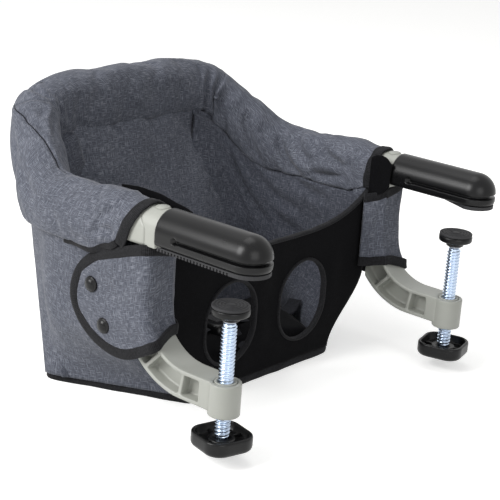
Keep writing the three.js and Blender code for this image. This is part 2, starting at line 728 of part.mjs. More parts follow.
function makeKnob() {
  const chamfer = KNOB_RIM / 2;
  let knob = upright(knobPlan(KNOB_HALF, KNOB_CORNER), KNOB_BOTTOM + chamfer, KNOB_TOP, CORNER);
  const skirt = upright(knobPlan(KNOB_HALF - chamfer, KNOB_CORNER - chamfer), KNOB_BOTTOM, KNOB_TOP,
    CORNER);
  const dish = upright(knobPlan(KNOB_HALF - KNOB_RIM, KNOB_CORNER - KNOB_RIM), KNOB_TOP - KNOB_DISH,
    KNOB_TOP + OVERRUN, CORNER);
  knob = knob.add(skirt).subtract(dish);
  knob = knob.add(post(-ARM_X, SCREW_Y, KNOB_HUB_RADIUS, KNOB_BOTTOM + chamfer, KNOB_HUB_TOP));
  const socket = post(-ARM_X, SCREW_Y, SCREW_ROOT_RADIUS + GAP, SCREW_FOOT - GAP,
    KNOB_HUB_TOP + OVERRUN);
  return knob.subtract(socket);
}

const PRESSURE_TOP = -JAW_OPENING - FACING_HEIGHT - GAP;
const SOCKET_FOOT = PRESSURE_TOP - PRESSURE_HEIGHT - SOCKET_DROP;

function makePressurePad() {
  const disc = post(-ARM_X, SCREW_Y, PRESSURE_RADIUS, PRESSURE_TOP - PRESSURE_HEIGHT, PRESSURE_TOP,
    FINE);
  const socket = post(-ARM_X, SCREW_Y, SOCKET_RADIUS, SOCKET_FOOT, PRESSURE_TOP - GAP);
  const bore = post(-ARM_X, SCREW_Y, SCREW_CORE_RADIUS + GAP, SOCKET_FOOT - OVERRUN,
    SCREW_HEAD_TOP + GAP);
  return disc.add(socket).subtract(bore);
}

function makePadFacing() {
  return post(-ARM_X, SCREW_Y, PRESSURE_RADIUS - 1.5 * GAP, PRESSURE_TOP + GAP, -JAW_OPENING, FINE);
}

function makePadClip() {
  const top = SOCKET_FOOT - GAP;
  const ring = post(-ARM_X, SCREW_Y, CLIP_RADIUS, top - CLIP_HEIGHT, top, ROUND);
  return ring.subtract(
    post(-ARM_X, SCREW_Y, SCREW_CORE_RADIUS + GAP, top - CLIP_HEIGHT - OVERRUN, top + OVERRUN),
  );
}

// Tube frame and its end fittings

/** Half the frame's points, or all of them when both is set. */
function framePoints(both) {
  const right = FRAME_SHARES.map(([across, back, rise]) =>
    V3(-ARM_X * across, FRAME_BACK_Y * back, FRAME_LOW + FRAME_RISE * rise),
  );
  const start = V3(-ARM_X, TUBE_START_Y, FRAME_LOW);
  const half = [start, ...right];
  if (!both) return half;
  const left = half.slice(0, -1).reverse().map((p) => V3(-p.x, p.y, p.z));
  return [...half, ...left];
}

const frameHalf = new THREE.CatmullRomCurve3(framePoints(false), false, "centripetal");
const frameWhole = new THREE.CatmullRomCurve3(framePoints(true), false, "centripetal");

function makeFrameTube() {
  const shape = new THREE.Shape();
  shape.absarc(0, 0, TUBE_RADIUS, 0, Math.PI * 2, false);
  const bore = new THREE.Path();
  bore.absarc(0, 0, TUBE_RADIUS - TUBE_WALL, 0, Math.PI * 2, true);
  shape.holes.push(bore);
  const options = {
    steps: TUBE_STEPS,
    extrudePath: frameWhole,
    curveSegments: TUBE_SIDES,
    bevelEnabled: false,
  };
  const tube = solidFrom(new THREE.ExtrudeGeometry(shape, options));
  const hole = (side) => post(side * ARM_X, RIVET_Y, RIVET_RADIUS + GAP, FRAME_LOW - TUBE_RADIUS - OVERRUN,
    FRAME_LOW + TUBE_RADIUS + OVERRUN, SMALL);
  return tube.subtract(hole(-1)).subtract(hole(1));
}

function makeTubeFitting() {
  const tongue = post(-ARM_X, PIVOT_Y, TONGUE_RADIUS, SLOT_LOW + GAP, SLOT_HIGH - GAP, FINE).add(
    block(-ARM_X - TONGUE_RADIUS, -ARM_X + TONGUE_RADIUS, PIVOT_Y, FITTING_START_Y + OVERRUN,
      SLOT_LOW + GAP, SLOT_HIGH - GAP),
  );
  const end = new THREE.Shape();
  end.absarc(-ARM_X, FRAME_LOW, FITTING_RADIUS, 0, Math.PI * 2, false);
  const barrel = lengthwise(end, FITTING_START_Y, FITTING_END_Y);
  const bore = new THREE.Shape();
  bore.absarc(-ARM_X, FRAME_LOW, TUBE_RADIUS + GAP * 2.5, 0, Math.PI * 2, false);
  const socket = lengthwise(bore, TUBE_START_Y - GAP, FITTING_END_Y + OVERRUN);
  const pinHole = post(-ARM_X, PIVOT_Y, PIN_RADIUS + GAP, SLOT_LOW - OVERRUN, SLOT_HIGH + OVERRUN);
  const rivetHole = post(-ARM_X, RIVET_Y, RIVET_RADIUS + GAP, FRAME_LOW - FITTING_RADIUS - OVERRUN,
    FRAME_LOW + FITTING_RADIUS + OVERRUN, SMALL);
  return tongue.add(barrel).subtract(socket).subtract(pinHole).subtract(rivetHole);
}

function makeFittingRivet() {
  const reach = FITTING_RADIUS + GAP;
  const shank = post(-ARM_X, RIVET_Y, RIVET_RADIUS, FRAME_LOW - reach, FRAME_LOW + reach, SMALL);
  const top = post(-ARM_X, RIVET_Y, RIVET_HEAD_RADIUS, FRAME_LOW + reach,
    FRAME_LOW + reach + RIVET_HEAD, SMALL);
  const foot = post(-ARM_X, RIVET_Y, RIVET_HEAD_RADIUS, FRAME_LOW - reach - RIVET_HEAD,
    FRAME_LOW - reach, SMALL);
  return shank.add(top).add(foot);
}

// Cuffs and collar: a padded channel that rides over the tube, open below

/** The sideways direction that points out of the bucket at a place on the frame. */
function outwardAt(curve, share) {
  const run = curve.getTangentAt(share);
  return V3(run.x, run.y, 0).cross(V3(0, 0, 1)).normalize().negate();
}

/** The channel's section: outer skirt, round top and inner skirt, as steps outwards and upwards. */
function channelSection(size) {
  const { radius, bore, wall, outerDrop, innerDrop, tuck } = size;
  const skirt = (inset) => [
    [radius - inset - tuck, -outerDrop],
    [radius - inset - tuck * 0.42, -outerDrop * 0.62],
    [radius - inset - tuck * 0.06, -outerDrop * 0.25],
  ];
  const inner = (inset) => [
    [inset - radius, -innerDrop * 0.3],
    [inset - radius + wall * 0.3, -innerDrop],
  ];
  const arch = (r) => Array.from({ length: ARCH_FACETS + 1 }, (_, i) => {
    const angle = (Math.PI * i) / ARCH_FACETS;
    return [r * Math.cos(angle), r * Math.sin(angle)];
  });
  return [...skirt(0), ...arch(radius), ...inner(0), ...inner(wall).reverse(),
    ...arch(bore).reverse(), ...skirt(wall).reverse()];
}

/** The channel's sizes at a place along half the frame. */
function channelSize(point) {
  const lift = smooth((point.z - FRAME_LOW) / FRAME_RISE, 0, 1);
  const mouth = 1 - smooth(point.y, CUFF_SPLIT_Y, CUFF_SPLIT_Y * 1.6);
  const hem = lerp(lerp(CUFF_HEM, CUFF_MOUTH_HEM * 2, mouth), COLLAR_HEM, lift);
  const innerHem = lerp(CUFF_INNER_HEM, COLLAR_INNER_HEM, lift);
  const inside = point.y < FITTING_END_Y * 1.12 ? FITTING_RADIUS + RIVET_HEAD + GAP : TUBE_RADIUS;
  const bore = (inside + GAP * 3.5) / Math.cos(Math.PI / ARCH_FACETS / 2);
  return {
    radius: lerp(CUFF_RADIUS, COLLAR_RADIUS, lift),
    bore,
    wall: CUFF_WALL,
    outerDrop: point.z - hem,
    innerDrop: point.z - innerHem,
    tuck: COLLAR_TUCK * smooth(1 - Math.abs(point.x) / ARM_X, 0.05, 0.35),
  };
}

/** The channel between two places on the whole frame. */
function channel(from, to, steps) {
  const rings = Array.from({ length: steps + 1 }, (_, i) => {
    const share = lerp(from, to, i / steps);
    const point = frameWhole.getPointAt(share);
    const out = outwardAt(frameWhole, share);
    const above = frameWhole.getTangentAt(share).cross(out).normalize();
    return channelSection(channelSize(point)).map(([across, up]) =>
      point.clone().addScaledVector(out, across).addScaledVector(up > 0 ? above : UP, up),
    );
  });
  return foldedLoft(rings);
}

/** The share of the whole frame at a distance behind the mouth line on the right side. */
function shareAtY(y) {
  const length = frameWhole.getLength();
  return (y - TUBE_START_Y) / length;
}

/** The thin fabric mouth in front of a cuff, from one slanted edge to another. */
function mouthBand(topFrom, footFrom, topTo, footTo, radius) {
  const bore = NECK_RADIUS + GAP * 1.2;
  const steps = 10;
  const arch = (r) => Array.from({ length: steps + 1 }, (_, i) => {
    const angle = (Math.PI * i) / steps;
    return [r * Math.cos(angle), r * Math.sin(angle)];
  });
  const skirt = CUFF_MOUTH_HEM - NECK_SPRING;
  const profile = [[radius, skirt], ...arch(radius), [-radius, skirt],
    [-bore, skirt], ...arch(bore).reverse(), [bore, skirt]];
  const top = MOUTH_RADIUS;
  const ring = (topY, footY) => profile.map(([a, b]) => {
    const share = (top - b) / (top - skirt);
    return V3(-ARM_X - a, lerp(topY, footY, share), NECK_SPRING + b);
  });
  return foldedLoft([ring(topFrom, footFrom), ring(topTo, footTo)]);
}

function makeCuffMouth() {
  const top = MOUTH_TOP_Y + MOUTH_TAPE + GAP;
  const foot = MOUTH_FOOT_Y + MOUTH_TAPE + GAP;
  const end = TUBE_START_Y;
  return mouthBand(top, foot, end, end, NECK_RADIUS + MOUTH_WALL);
}

function makeCuffTape() {
  return mouthBand(MOUTH_TOP_Y, MOUTH_FOOT_Y, MOUTH_TOP_Y + MOUTH_TAPE, MOUTH_FOOT_Y + MOUTH_TAPE,
    MOUTH_RADIUS);
}

// Fabric bucket

// Places round the right half of the bucket's foot and rim: [x, y] in plan, from the front corner back
const FOOT_PLAN = [
  [FRONT_HALF, FRONT_Y],
  [lerp(FRONT_HALF, BACK_HALF, 0.1), lerp(FRONT_Y, BACK_FOOT_Y, 0.09)],
  [lerp(FRONT_HALF, BACK_HALF, 0.18), lerp(FRONT_Y, BACK_FOOT_Y, 0.165)],
  [lerp(FRONT_HALF, BACK_HALF, 0.26), lerp(FRONT_Y, BACK_FOOT_Y, 0.24)],
  [lerp(FRONT_HALF, BACK_HALF, 0.34), lerp(FRONT_Y, BACK_FOOT_Y, 0.315)],
  [lerp(FRONT_HALF, BACK_HALF, 0.5), lerp(FRONT_Y, BACK_FOOT_Y, 0.465)],
  [lerp(FRONT_HALF, BACK_HALF, 0.68), lerp(FRONT_Y, BACK_FOOT_Y, 0.635)],
  [lerp(FRONT_HALF, BACK_HALF, 0.85), lerp(FRONT_Y, BACK_FOOT_Y, 0.79)],
  [lerp(FRONT_HALF, BACK_HALF, 0.96), lerp(FRONT_Y, BACK_FOOT_Y, 0.9)],
  [lerp(FRONT_HALF, BACK_HALF, 0.97), lerp(FRONT_Y, BACK_FOOT_Y, 0.975)],
];
const RIM_PLAN = [
  [TUCK_X, FRONT_Y],
  [TUCK_X, FRONT_Y * 1.4],
  [TUCK_X * 1.01, CUFF_SPLIT_Y * 0.95],
  [lerp(TUCK_X, SIDE_TOP_X, 0.88), lerp(CUFF_SPLIT_Y, BACK_TOP_Y, 0.012)],
  [SIDE_TOP_X, lerp(CUFF_SPLIT_Y, BACK_TOP_Y, 0.1)],
  [SIDE_TOP_X * 1.005, lerp(CUFF_SPLIT_Y, BACK_TOP_Y, 0.25)],
  [SIDE_TOP_X * 1.005, lerp(CUFF_SPLIT_Y, BACK_TOP_Y, 0.43)],
  [SIDE_TOP_X * 0.985, lerp(CUFF_SPLIT_Y, BACK_TOP_Y, 0.62)],
  [SIDE_TOP_X * 0.895, lerp(CUFF_SPLIT_Y, BACK_TOP_Y, 0.82)],
  [SIDE_TOP_X * 0.78, BACK_TOP_Y],
];

// Shares of the foot's depth where its ring has points, and how far its rear corners are cut
const FOOT_STOPS = [0, 0.2, 0.4, 0.6, 0.8, 0.93, 1];
const FOOT_CORNER_SHARE = 0.975;
const SIDE_SHARES = [0.028, 0.985]; // where the side panel starts and ends along that ring
const SIDE_GRID = [14, 5];
const SWELL_SHARE = 0.45; // share of the height over which the sides swell out to the rim's width

/** A point of the bucket's outer skin on the right side: share runs back, height runs up. */
function skinPoint(share, z) {
  const place = share * (FOOT_PLAN.length - 1);
  const k = Math.min(Math.floor(place), FOOT_PLAN.length - 2);
  const rest = place - k;
  const rise = (z - HEM_Z) / -HEM_Z;
  const swell = smooth(rise, 0, SWELL_SHARE);
  const at = (i) => [lerp(FOOT_PLAN[i][0], RIM_PLAN[i][0], swell),
    lerp(FOOT_PLAN[i][1], RIM_PLAN[i][1], rise)];
  const [a, b] = [at(k), at(k + 1)];
  return V3(-lerp(a[0], b[0], rest), lerp(a[1], b[1], rest), z);
}

/** The same skin drawn in towards the child by a margin. */
function skinInside(share, z, margin) {
  const step = 0.01;
  const before = skinPoint(Math.max(share - step, 0), z);
  const after = skinPoint(Math.min(share + step, 1), z);
  const run = after.sub(before).normalize();
  return skinPoint(share, z).add(V3(run.y, -run.x, 0).multiplyScalar(margin));
}

/** Height of the side fabric's upper edge, which climbs to the back under the collar. */
function sideTop(share) {
  return lerp(SIDE_TOP_Z, BACK_TOP_Z, smooth(share, 0.6, 0.92));
}

function makeSidePanel() {
  const [start, corner] = SIDE_SHARES;
  const place = (margin) => (u, v) => {
    const share = lerp(start, corner, u);
    return skinInside(share, lerp(HEM_Z, sideTop(share), v), margin);
  };
  return sheet(grid(SIDE_GRID[0], SIDE_GRID[1], place(0)), grid(SIDE_GRID[0], SIDE_GRID[1], place(PANEL)));
}

/** Y of the back panel's outer face at a place. */
function backFace(x, z) {
  const corner = skinPoint(1, Math.min(z, 0));
  const half = Math.abs(corner.x) - PANEL - GAP;
  const bow = Math.cos((Math.PI / 2) * Math.min(Math.abs(x) / half, 1)) * PANEL * 1.5;
  return corner.y + Math.max(z, 0) * BACK_LEAN + bow;
}

function makeBackPanel() {
  const place = (margin) => (u, v) => {
    const z = lerp(HEM_Z, BACK_TOP_Z, v);
    const half = Math.abs(skinPoint(1, z).x) - PANEL - GAP;
    const x = lerp(-half, half, u);
    return V3(x, backFace(x, z) - margin, z);
  };
  return sheet(grid(8, 5, place(0)), grid(8, 5, place(PANEL)));
}

/** A round-ended opening for one leg. */
function legOpening(side) {
  const shape = new THREE.Shape();
  const straight = LEG_HALF_HEIGHT - LEG_HALF_WIDTH;
  shape.absarc(side * LEG_X, LEG_Z + straight, LEG_HALF_WIDTH, 0, Math.PI, false);
  shape.absarc(side * LEG_X, LEG_Z - straight, LEG_HALF_WIDTH, Math.PI, Math.PI * 2, false);
  return lengthwise(shape, FRONT_Y - OVERRUN, FRONT_Y + PANEL + OVERRUN);
}

function makeFrontPanel() {
  const rows = 12;
  const high = 4;
  const place = (depth) => (u, v) => {
    const across = 2 * u - 1;
    const top = FRONT_CORNER_Z - FRONT_SAG * (1 - across ** 4);
    const z = lerp(HEM_Z, top, v);
    const half = Math.abs(skinPoint(0, z).x) - PANEL * 0.2;
    return V3(half * across, FRONT_Y + depth, z);
  };
  const panel = sheet(grid(rows, high, place(0)), grid(rows, high, place(PANEL)));
  return panel.subtract(legOpening(-1)).subtract(legOpening(1));
}

/** The foot's plan as a closed ring, drawn in by a margin: a wedge with cut rear corners. */
function footRing(margin) {
  const slope = (BACK_HALF - FRONT_HALF) / (BACK_FOOT_Y - FRONT_Y);
  const sideways = margin * Math.hypot(1, slope);
  const right = FOOT_STOPS.map((share) => {
    const y = lerp(FRONT_Y + margin, BACK_FOOT_Y - margin, share);
    return [-(FRONT_HALF + (y - FRONT_Y) * slope - sideways), y];
  });
  const [cornerX, cornerY] = right.pop();
  right.push([cornerX * FOOT_CORNER_SHARE, cornerY]);
  const left = right.map(([x, y]) => [-x, y]).reverse();
  return [...right, ...left];
}

function makeHemTape() {
  const outer = upright(outline(footRing(-HEM_TAPE * 0.2)), HEM_BASE, HEM_Z - GAP);
  const inner = upright(outline(footRing(HEM_TAPE * 0.8)), HEM_BASE - OVERRUN, HEM_Z + OVERRUN);
  return outer.subtract(inner);
}

function makeSole() {
  return upright(outline(footRing(HEM_TAPE * 0.8 + GAP)), HEM_BASE + SOLE / 2, HEM_BASE + SOLE * 1.5);
}

function makeSeatBoard() {
  const low = HEM_BASE + SOLE * 1.5 + GAP;
  return upright(outline(footRing(SEAT_INSET)), low, low + SEAT_BOARD);
}

/** A cushion over the seat board: crowned top with sides that draw in. */
function makeSeatCushion() {
  const low = HEM_BASE + SOLE * 1.5 + SEAT_BOARD + GAP * 2;
  const inset = SEAT_INSET + LINING;
  const ring = footRing(inset);
  const centre = V3(0, (FRONT_Y + BACK_FOOT_Y) / 2, 0);
  const layers = [[0.975, 0], [1, 0.3], [0.99, 0.62], [0.95, 0.86], [0.82, 1]];
  const rings = layers.map(([share, height]) => ring.map(([x, y]) => {
    const p = V3(x, y, low + SEAT_CUSHION * height);
    return V3(lerp(centre.x, p.x, share), lerp(centre.y, p.y, share), p.z);
  }));
  rings.push(ring.map(([x, y]) =>
    V3(lerp(centre.x, x, 0.4), lerp(centre.y, y, 0.4), low + SEAT_CUSHION + SEAT_CROWN)));
  return loft(rings, ring.map(([x, y]) => new THREE.Vector2(x, y)));
}

const CUSHION_TOP = HEM_BASE + SOLE * 1.5 + SEAT_BOARD + GAP * 2 + SEAT_CUSHION + SEAT_CROWN;

/** Height of the collar's inner hem above a place across the back. */
function collarHem(x) {
  const rail = Array.from({ length: 90 }, (_, i) => frameHalf.getPointAt(0.3 + (0.7 * i) / 89));
  const near = rail.reduce((a, b) => (Math.abs(b.x + Math.abs(x)) < Math.abs(a.x + Math.abs(x)) ? b : a));
  return near.z - channelSize(near).innerDrop;
}

/** The back cushion: a crowned pad against the back panel, with its top under the collar's hem. */
function makeBackCushion() {
  const low = CUSHION_TOP + GAP * 4;
  const behind = PANEL + GAP * 2;
  const edge = (u, v) => {
    const [a, b] = [Math.sin(Math.PI * u), Math.sin(Math.PI * v)];
    return Math.min(1, Math.sqrt(Math.max(a, 0)) * Math.sqrt(Math.max(b, 0)) * 1.15);
  };
  const face = (u, v) => {
    const half = lerp(BACK_CUSHION_FOOT, BACK_CUSHION_HALF, v);
    const x = lerp(-half, half, u);
    const z = lerp(low, collarHem(x) - GAP * 8, v);
    return V3(x, backFace(x, z) - behind, z);
  };
  const front = grid(12, 6, (u, v) =>
    face(u, v).sub(V3(0, lerp(BACK_CUSHION * 0.45, BACK_CUSHION + BACK_CROWN, edge(u, v)), 0)));
  return sheet(grid(12, 6, face), front);
}

/** The inner side fabric, from under the cuff down to the seat cushion's edge. */
function makeSideLining() {
  const foot = CUSHION_TOP - SEAT_CROWN - SEAT_CUSHION + GAP;
  const at = (margin) => (u, v) => {
    const place = lerp(shareAtY(LINING_START_Y), SEAM_SHARE / 2, u);
    const rail = frameWhole.getPointAt(place);
    const size = channelSize(rail);
    const tuck = size.radius - size.wall * 1.3 - GAP * 8 - LINING;
    const high = rail.clone().addScaledVector(outwardAt(frameWhole, place), -tuck);
    high.z = rail.z - size.innerDrop + LINING * 1.2;
    const low = skinInside(lerp(0.24, 0.84, u), HEM_Z, SEAT_INSET - LINING);
    const swell = smooth(v, 0, SWELL_SHARE * 1.2);
    const spot = V3(lerp(low.x, high.x, swell), lerp(low.y, high.y, v), lerp(foot, high.z, v));
    return spot.addScaledVector(outwardAt(frameWhole, place), -margin);
  };
  return sheet(grid(8, 6, at(0)), grid(8, 6, at(LINING)));
}

/** Black fabric beside the neck, from the front panel's corner up; on one side it runs back. */
function makeNeckGuard(long) {
  const out = ARM_X - MOUTH_RADIUS - GAP * 2;
  const stops = long ? GUARD_LONG : GUARD_SHORT;
  const curve = (k) => new THREE.SplineCurve(stops.map((row) => new THREE.Vector2(row[0], row[k])));
  const [low, high] = [curve(1), curve(2)];
  const place = (x) => (u, v) => V3(x, high.getPoint(u).x, lerp(low.getPoint(u).y, high.getPoint(u).y, v));
  return sheet(grid(8, 1, place(-out)), grid(8, 1, place(-out + GUARD_WALL)));
}

// Flap over the arm, with its binding and press studs

// The flap is drawn unrolled: [run, height] of its edge from the front foot, round the rear, to the
// front top. The run is minus Y on the outer side and goes on round the front of the arm.
const FLAP_EDGE = [
  [72, -95],
  [60, -95],
  [45, -93],
  [25, -92],
  [10, -97],
  [3, -101],
  [-4, -105],
  [-14, -111],
  [-38, -122],
  [-62, -123.5],
  [-84, -119],
  [-104, -109],
  [-119, -93],
  [-123, -77],
  [-119, -60],
  [-108, -44],
  [-90, -31],
  [-64, -21],
  [-40, -12],
  [-24, -7],
  [-17, -5.5],
  [-10, -5.5],
  [-2, -7],
  [16, -11],
  [40, -15],
  [60, -17],
  [72, -17],
];
// Runs at which the flap's cloth has rows, from the rear forward
const FLAP_RUNS = [
  -120, -113, -103, -88, -70, -52, -36, -26, -21, -17, -13, -9, -5, 0, 6, 18, 34, 50, 69,
];
const FLAP_FRONT_CURVE = 9; // radius of its turn round the front of the arm
const FLAP_FRONT_GAP = 4.8;
const FLAP_REST_X = FLAP_X - FLAP_LEAN; // where its rear lies against the side panel
const FLAP_END_INSET = 37;
const FLAP_END_GAP = 3.5;
const FLAP_END = [ARM_X - FLAP_END_INSET, FRONT_Y - FLAP_END_GAP]; // where it meets the front panel
const EDGE_STEPS = 52;
const FLAP_COLUMNS = 4;

const flapCurve = new THREE.SplineCurve(FLAP_EDGE.map(([a, b]) => new THREE.Vector2(a, b)));

/** Y of the arm's inner face at a height, which the flap's front follows. */
function armFaceY(z) {
  const drop = Math.min(z + INNER_BEND_DROP, 0);
  return INNER_BEND_Y + Math.sqrt(Math.max(INNER_BEND_RADIUS ** 2 - drop ** 2, 0));
}

/** A place on the flap in space: its run, its height, and how far it stands off outwards. */
function flapPoint(run, z, off) {
  const front = armFaceY(z) - FLAP_FRONT_GAP;
  const start = front + FLAP_FRONT_CURVE;
  const corner = (FLAP_FRONT_CURVE * Math.PI) / 2;
  const side = lerp(FLAP_X, FLAP_REST_X, smooth(-run, ARM_ROOT_Y, -FLAP_RUNS[0]));
  const past = run + start;
  if (past <= 0) return V3(-side - off, -run, z);
  const angle = Math.min(past, corner) / FLAP_FRONT_CURVE;
  const reach = FLAP_FRONT_CURVE + off;
  const [middleX, middleY] = [-FLAP_X + FLAP_FRONT_CURVE, front + FLAP_FRONT_CURVE];
  if (past <= corner) {
    return V3(middleX - reach * Math.cos(angle), middleY - reach * Math.sin(angle), z);
  }
  const inner = -ARM_X + ARM_WIDTH / 2;
  const straight = inner - middleX;
  const last = FLAP_EDGE[0][0] + start - corner;
  const after = past - corner;
  if (after <= straight) return V3(middleX + after, front - off, z);
  const share = (after - straight) / (last - straight);
  return V3(lerp(inner, -FLAP_END[0], share), lerp(front, FLAP_END[1], share) - off, z);
}

/** The flap's binding as a band along its edge, between two offsets and two heights off its face. */
function flapBand(inside, outside, low, high) {
  const place = (off) => (u, v) => {
    const at = flapCurve.getPoint(u);
    const run = flapCurve.getTangent(u);
    const margin = lerp(inside, outside, v);
    return flapPoint(at.x + run.y * margin, at.y - run.x * margin, off);
  };
  return sheet(grid(EDGE_STEPS, 1, place(low)), grid(EDGE_STEPS, 1, place(high)));
}

/** Heights between which the flap's cloth spans at a run. */
function flapSpan(run) {
  const samples = flapCurve.getPoints(EDGE_STEPS * 4);
  const crossings = [];
  for (let i = 0; i + 1 < samples.length; i += 1) {
    const [a, b] = [samples[i], samples[i + 1]];
    if ((a.x - run) * (b.x - run) <= 0 && a.x !== b.x) {
      crossings.push(lerp(a.y, b.y, (run - a.x) / (b.x - a.x)));
    }
  }
  return [Math.min(...crossings), Math.max(...crossings)];
}

function makeFlap() {
  const rows = FLAP_RUNS.map((run) => [run, ...flapSpan(run)]);
  const cloth = (off) => rows.map(([run, low, high]) =>
    Array.from({ length: FLAP_COLUMNS + 1 }, (_, i) =>
      flapPoint(run, lerp(low, high, i / FLAP_COLUMNS), off)));
  let flap = sheet(cloth(0), cloth(FLAP_WALL));
  const half = FLAP_TAPE / 2;
  flap = flap.subtract(flapBand(half + GAP * 2.8, -half - OVERRUN * 2, -OVERRUN * 1.7, FLAP_WALL + OVERRUN));
  for (const [y, z] of [UPPER_STUD, LOWER_STUD]) {
    flap = flap.subtract(crossBar(y, z, STUD_HOLE, -FLAP_X - OVERRUN, -FLAP_REST_X + OVERRUN, SMALL));
  }
  return flap;
}

function makeFlapTape() {
  const extra = (FLAP_TAPE_WALL - FLAP_WALL) / 2;
  return flapBand(FLAP_TAPE / 2, -FLAP_TAPE / 2, -extra, FLAP_WALL + extra);
}

function makePressStud([y, z]) {
  const face = flapPoint(-y, z, FLAP_WALL + GAP * 3).x;
  const rings = [[STUD_CAP_RADIUS, 0], [STUD_CAP_RADIUS, 0.25], [STUD_CAP_RADIUS * 0.86, 0.62],
    [STUD_CAP_RADIUS * 0.55, 0.9], [0, 1]];
  const profile = [new THREE.Vector2(0, 0),
    ...rings.map(([radius, share]) => new THREE.Vector2(radius, STUD_CAP * share))];
  const dome = new THREE.LatheGeometry(profile, SMALL);
  dome.rotateZ(Math.PI / 2);
  dome.translate(face, y, z);
  const foot = skinX(y, z) - GAP * 2;
  return solidFrom(dome).add(crossBar(y, z, STUD_SHANK, face - GAP, foot, SMALL));
}

/** X of the side panel's outer face at a place on the right side. */
function skinX(y, z) {
  const stops = Array.from({ length: 200 }, (_, i) => skinPoint(i / 200, z));
  return stops.reduce((best, p) => (Math.abs(p.y - y) < Math.abs(best.y - y) ? p : best)).x;
}

// Harness: crotch strap, waist belts and a buckle with its press button

const BUCKLE_Y = 112;
const BUCKLE_Z = CUSHION_TOP + GAP;

function makeCrotchStrap() {
  const side = V3(WEBBING_WIDTH / 2, 0, 0);
  return strip(CROTCH_STRAP.map(([y, z]) => [V3(0, y, z), side]), WEBBING, 1);
}

function makeBuckle() {
  const [x, y] = [BUCKLE_WIDTH / 2, BUCKLE_LENGTH / 2];
  const shell = block(-x, x, BUCKLE_Y - y, BUCKLE_Y + y, BUCKLE_Z, BUCKLE_Z + BUCKLE_HEIGHT);
  const half = BUTTON_WIDTH / 2 + GAP;
  const well = block(-half, half, BUCKLE_Y - half, BUCKLE_Y + half,
    BUCKLE_Z + BUCKLE_HEIGHT - BUTTON_HEIGHT - BUTTON_STANDS, BUCKLE_Z + BUCKLE_HEIGHT + OVERRUN);
  return shell.subtract(well);
}

function makeBuckleButton() {
  const half = BUTTON_WIDTH / 2;
  const top = BUCKLE_Z + BUCKLE_HEIGHT;
  return block(-half, half, BUCKLE_Y - half, BUCKLE_Y + half, top - BUTTON_HEIGHT + GAP,
    top + BUTTON_STANDS / 2);
}

function makeWaistBelt() {
  const half = WEBBING_WIDTH / 2;
  const [start, end] = [-BUCKLE_WIDTH / 2 - GAP * 1.3, BELT_INSET - BACK_HALF];
  return strip(WAIST_BELT.map(([share, z, lean]) =>
    [V3(lerp(start, end, share), BUCKLE_Y, z), V3(-half * lean, half * Math.sqrt(1 - lean * lean), 0)]),
  WEBBING, 1);
}

// Assembly

const seat = new THREE.Group();

/** Adds a named piece to a group. */
function addPiece(group, name, solid, finish) {
  const mesh = new THREE.Mesh(geometryFrom(solid), new THREE.MeshStandardMaterial(finish));
  mesh.name = name;
  group.add(mesh);
  return mesh;
}

/** One clamp arm with its cuff, flap and side fabric. The left one is the right one mirrored. */
function addSide(name, mirrored) {
  const side = new THREE.Group();
  side.scale.x = mirrored ? -1 : 1;
  const add = (piece, solid, finish) => addPiece(side, `${name}_${piece}`, solid, finish);
  add("arm", makeArm(), NYLON);
  add("fold_pin", makeFoldPin(), STEEL);
  add("grip", makeGrip(), BLACK_PLASTIC);
  add("grip_screw", makeGripScrew(), STEEL);
  add("grip_pad", makeGripPad(), RUBBER);
  add("screw_nut", makeNut(), NYLON);
  add("knob", makeKnob(), BLACK_PLASTIC);
  add("pressure_pad", makePressurePad(), BLACK_PLASTIC);
  add("pad_facing", makePadFacing(), RUBBER);
  add("pad_clip", makePadClip(), STEEL);
  add("tube_fitting", makeTubeFitting(), NYLON);
  add("fitting_rivet", makeFittingRivet(), STEEL);
  add("cuff", channel(shareAtY(TUBE_START_Y + GAP), SEAM_SHARE / 2 - SEAM_GAP_SHARE, 13), SLATE);
  add("cuff_mouth", makeCuffMouth(), SLATE);
  add("cuff_tape", makeCuffTape(), TAPE);
  add("side_panel", makeSidePanel(), SHADE);
  add("side_lining", makeSideLining(), SHADE);
  add("neck_guard", makeNeckGuard(!mirrored), BLACK_CLOTH);
  add("flap", makeFlap(), SHADE);
  add("flap_tape", makeFlapTape(), TAPE);
  add("upper_stud", makePressStud(UPPER_STUD), BLACK_PLASTIC);
  add("lower_stud", makePressStud(LOWER_STUD), BLACK_PLASTIC);
  add("waist_belt", makeWaistBelt(), TAPE);
  seat.add(side);
}

addSide("right", false);
addSide("left", true);

// Both clamp screws have the same right-handed thread, so they are placed, not mirrored
for (const [name, side] of [["right", -1], ["left", 1]]) {
  const screw = addPiece(seat, `${name}_clamp_screw`, makeClampScrew(), ZINC);
  screw.position.x = side * ARM_X;
}

const [collarStart, collarEnd] = [SEAM_SHARE / 2, 1 - SEAM_SHARE / 2];
const backCollar = channel(collarStart + SEAM_GAP_SHARE, collarEnd - SEAM_GAP_SHARE, 18);
addPiece(seat, "frame_tube", makeFrameTube(), STEEL);
addPiece(seat, "back_collar", backCollar, SLATE);
addPiece(seat, "back_panel", makeBackPanel(), SHADE);
addPiece(seat, "back_cushion", makeBackCushion(), SLATE);
addPiece(seat, "front_panel", makeFrontPanel(), BLACK_CLOTH);
addPiece(seat, "bottom_panel", makeSole(), BLACK_CLOTH);
addPiece(seat, "hem_tape", makeHemTape(), TAPE);
addPiece(seat, "seat_board", makeSeatBoard(), BOARD);
addPiece(seat, "seat_cushion", makeSeatCushion(), BLACK_CLOTH);
addPiece(seat, "crotch_strap", makeCrotchStrap(), TAPE);
addPiece(seat, "buckle", makeBuckle(), BLACK_PLASTIC);
addPiece(seat, "buckle_button", makeBuckleButton(), BLACK_PLASTIC);

export default seat;
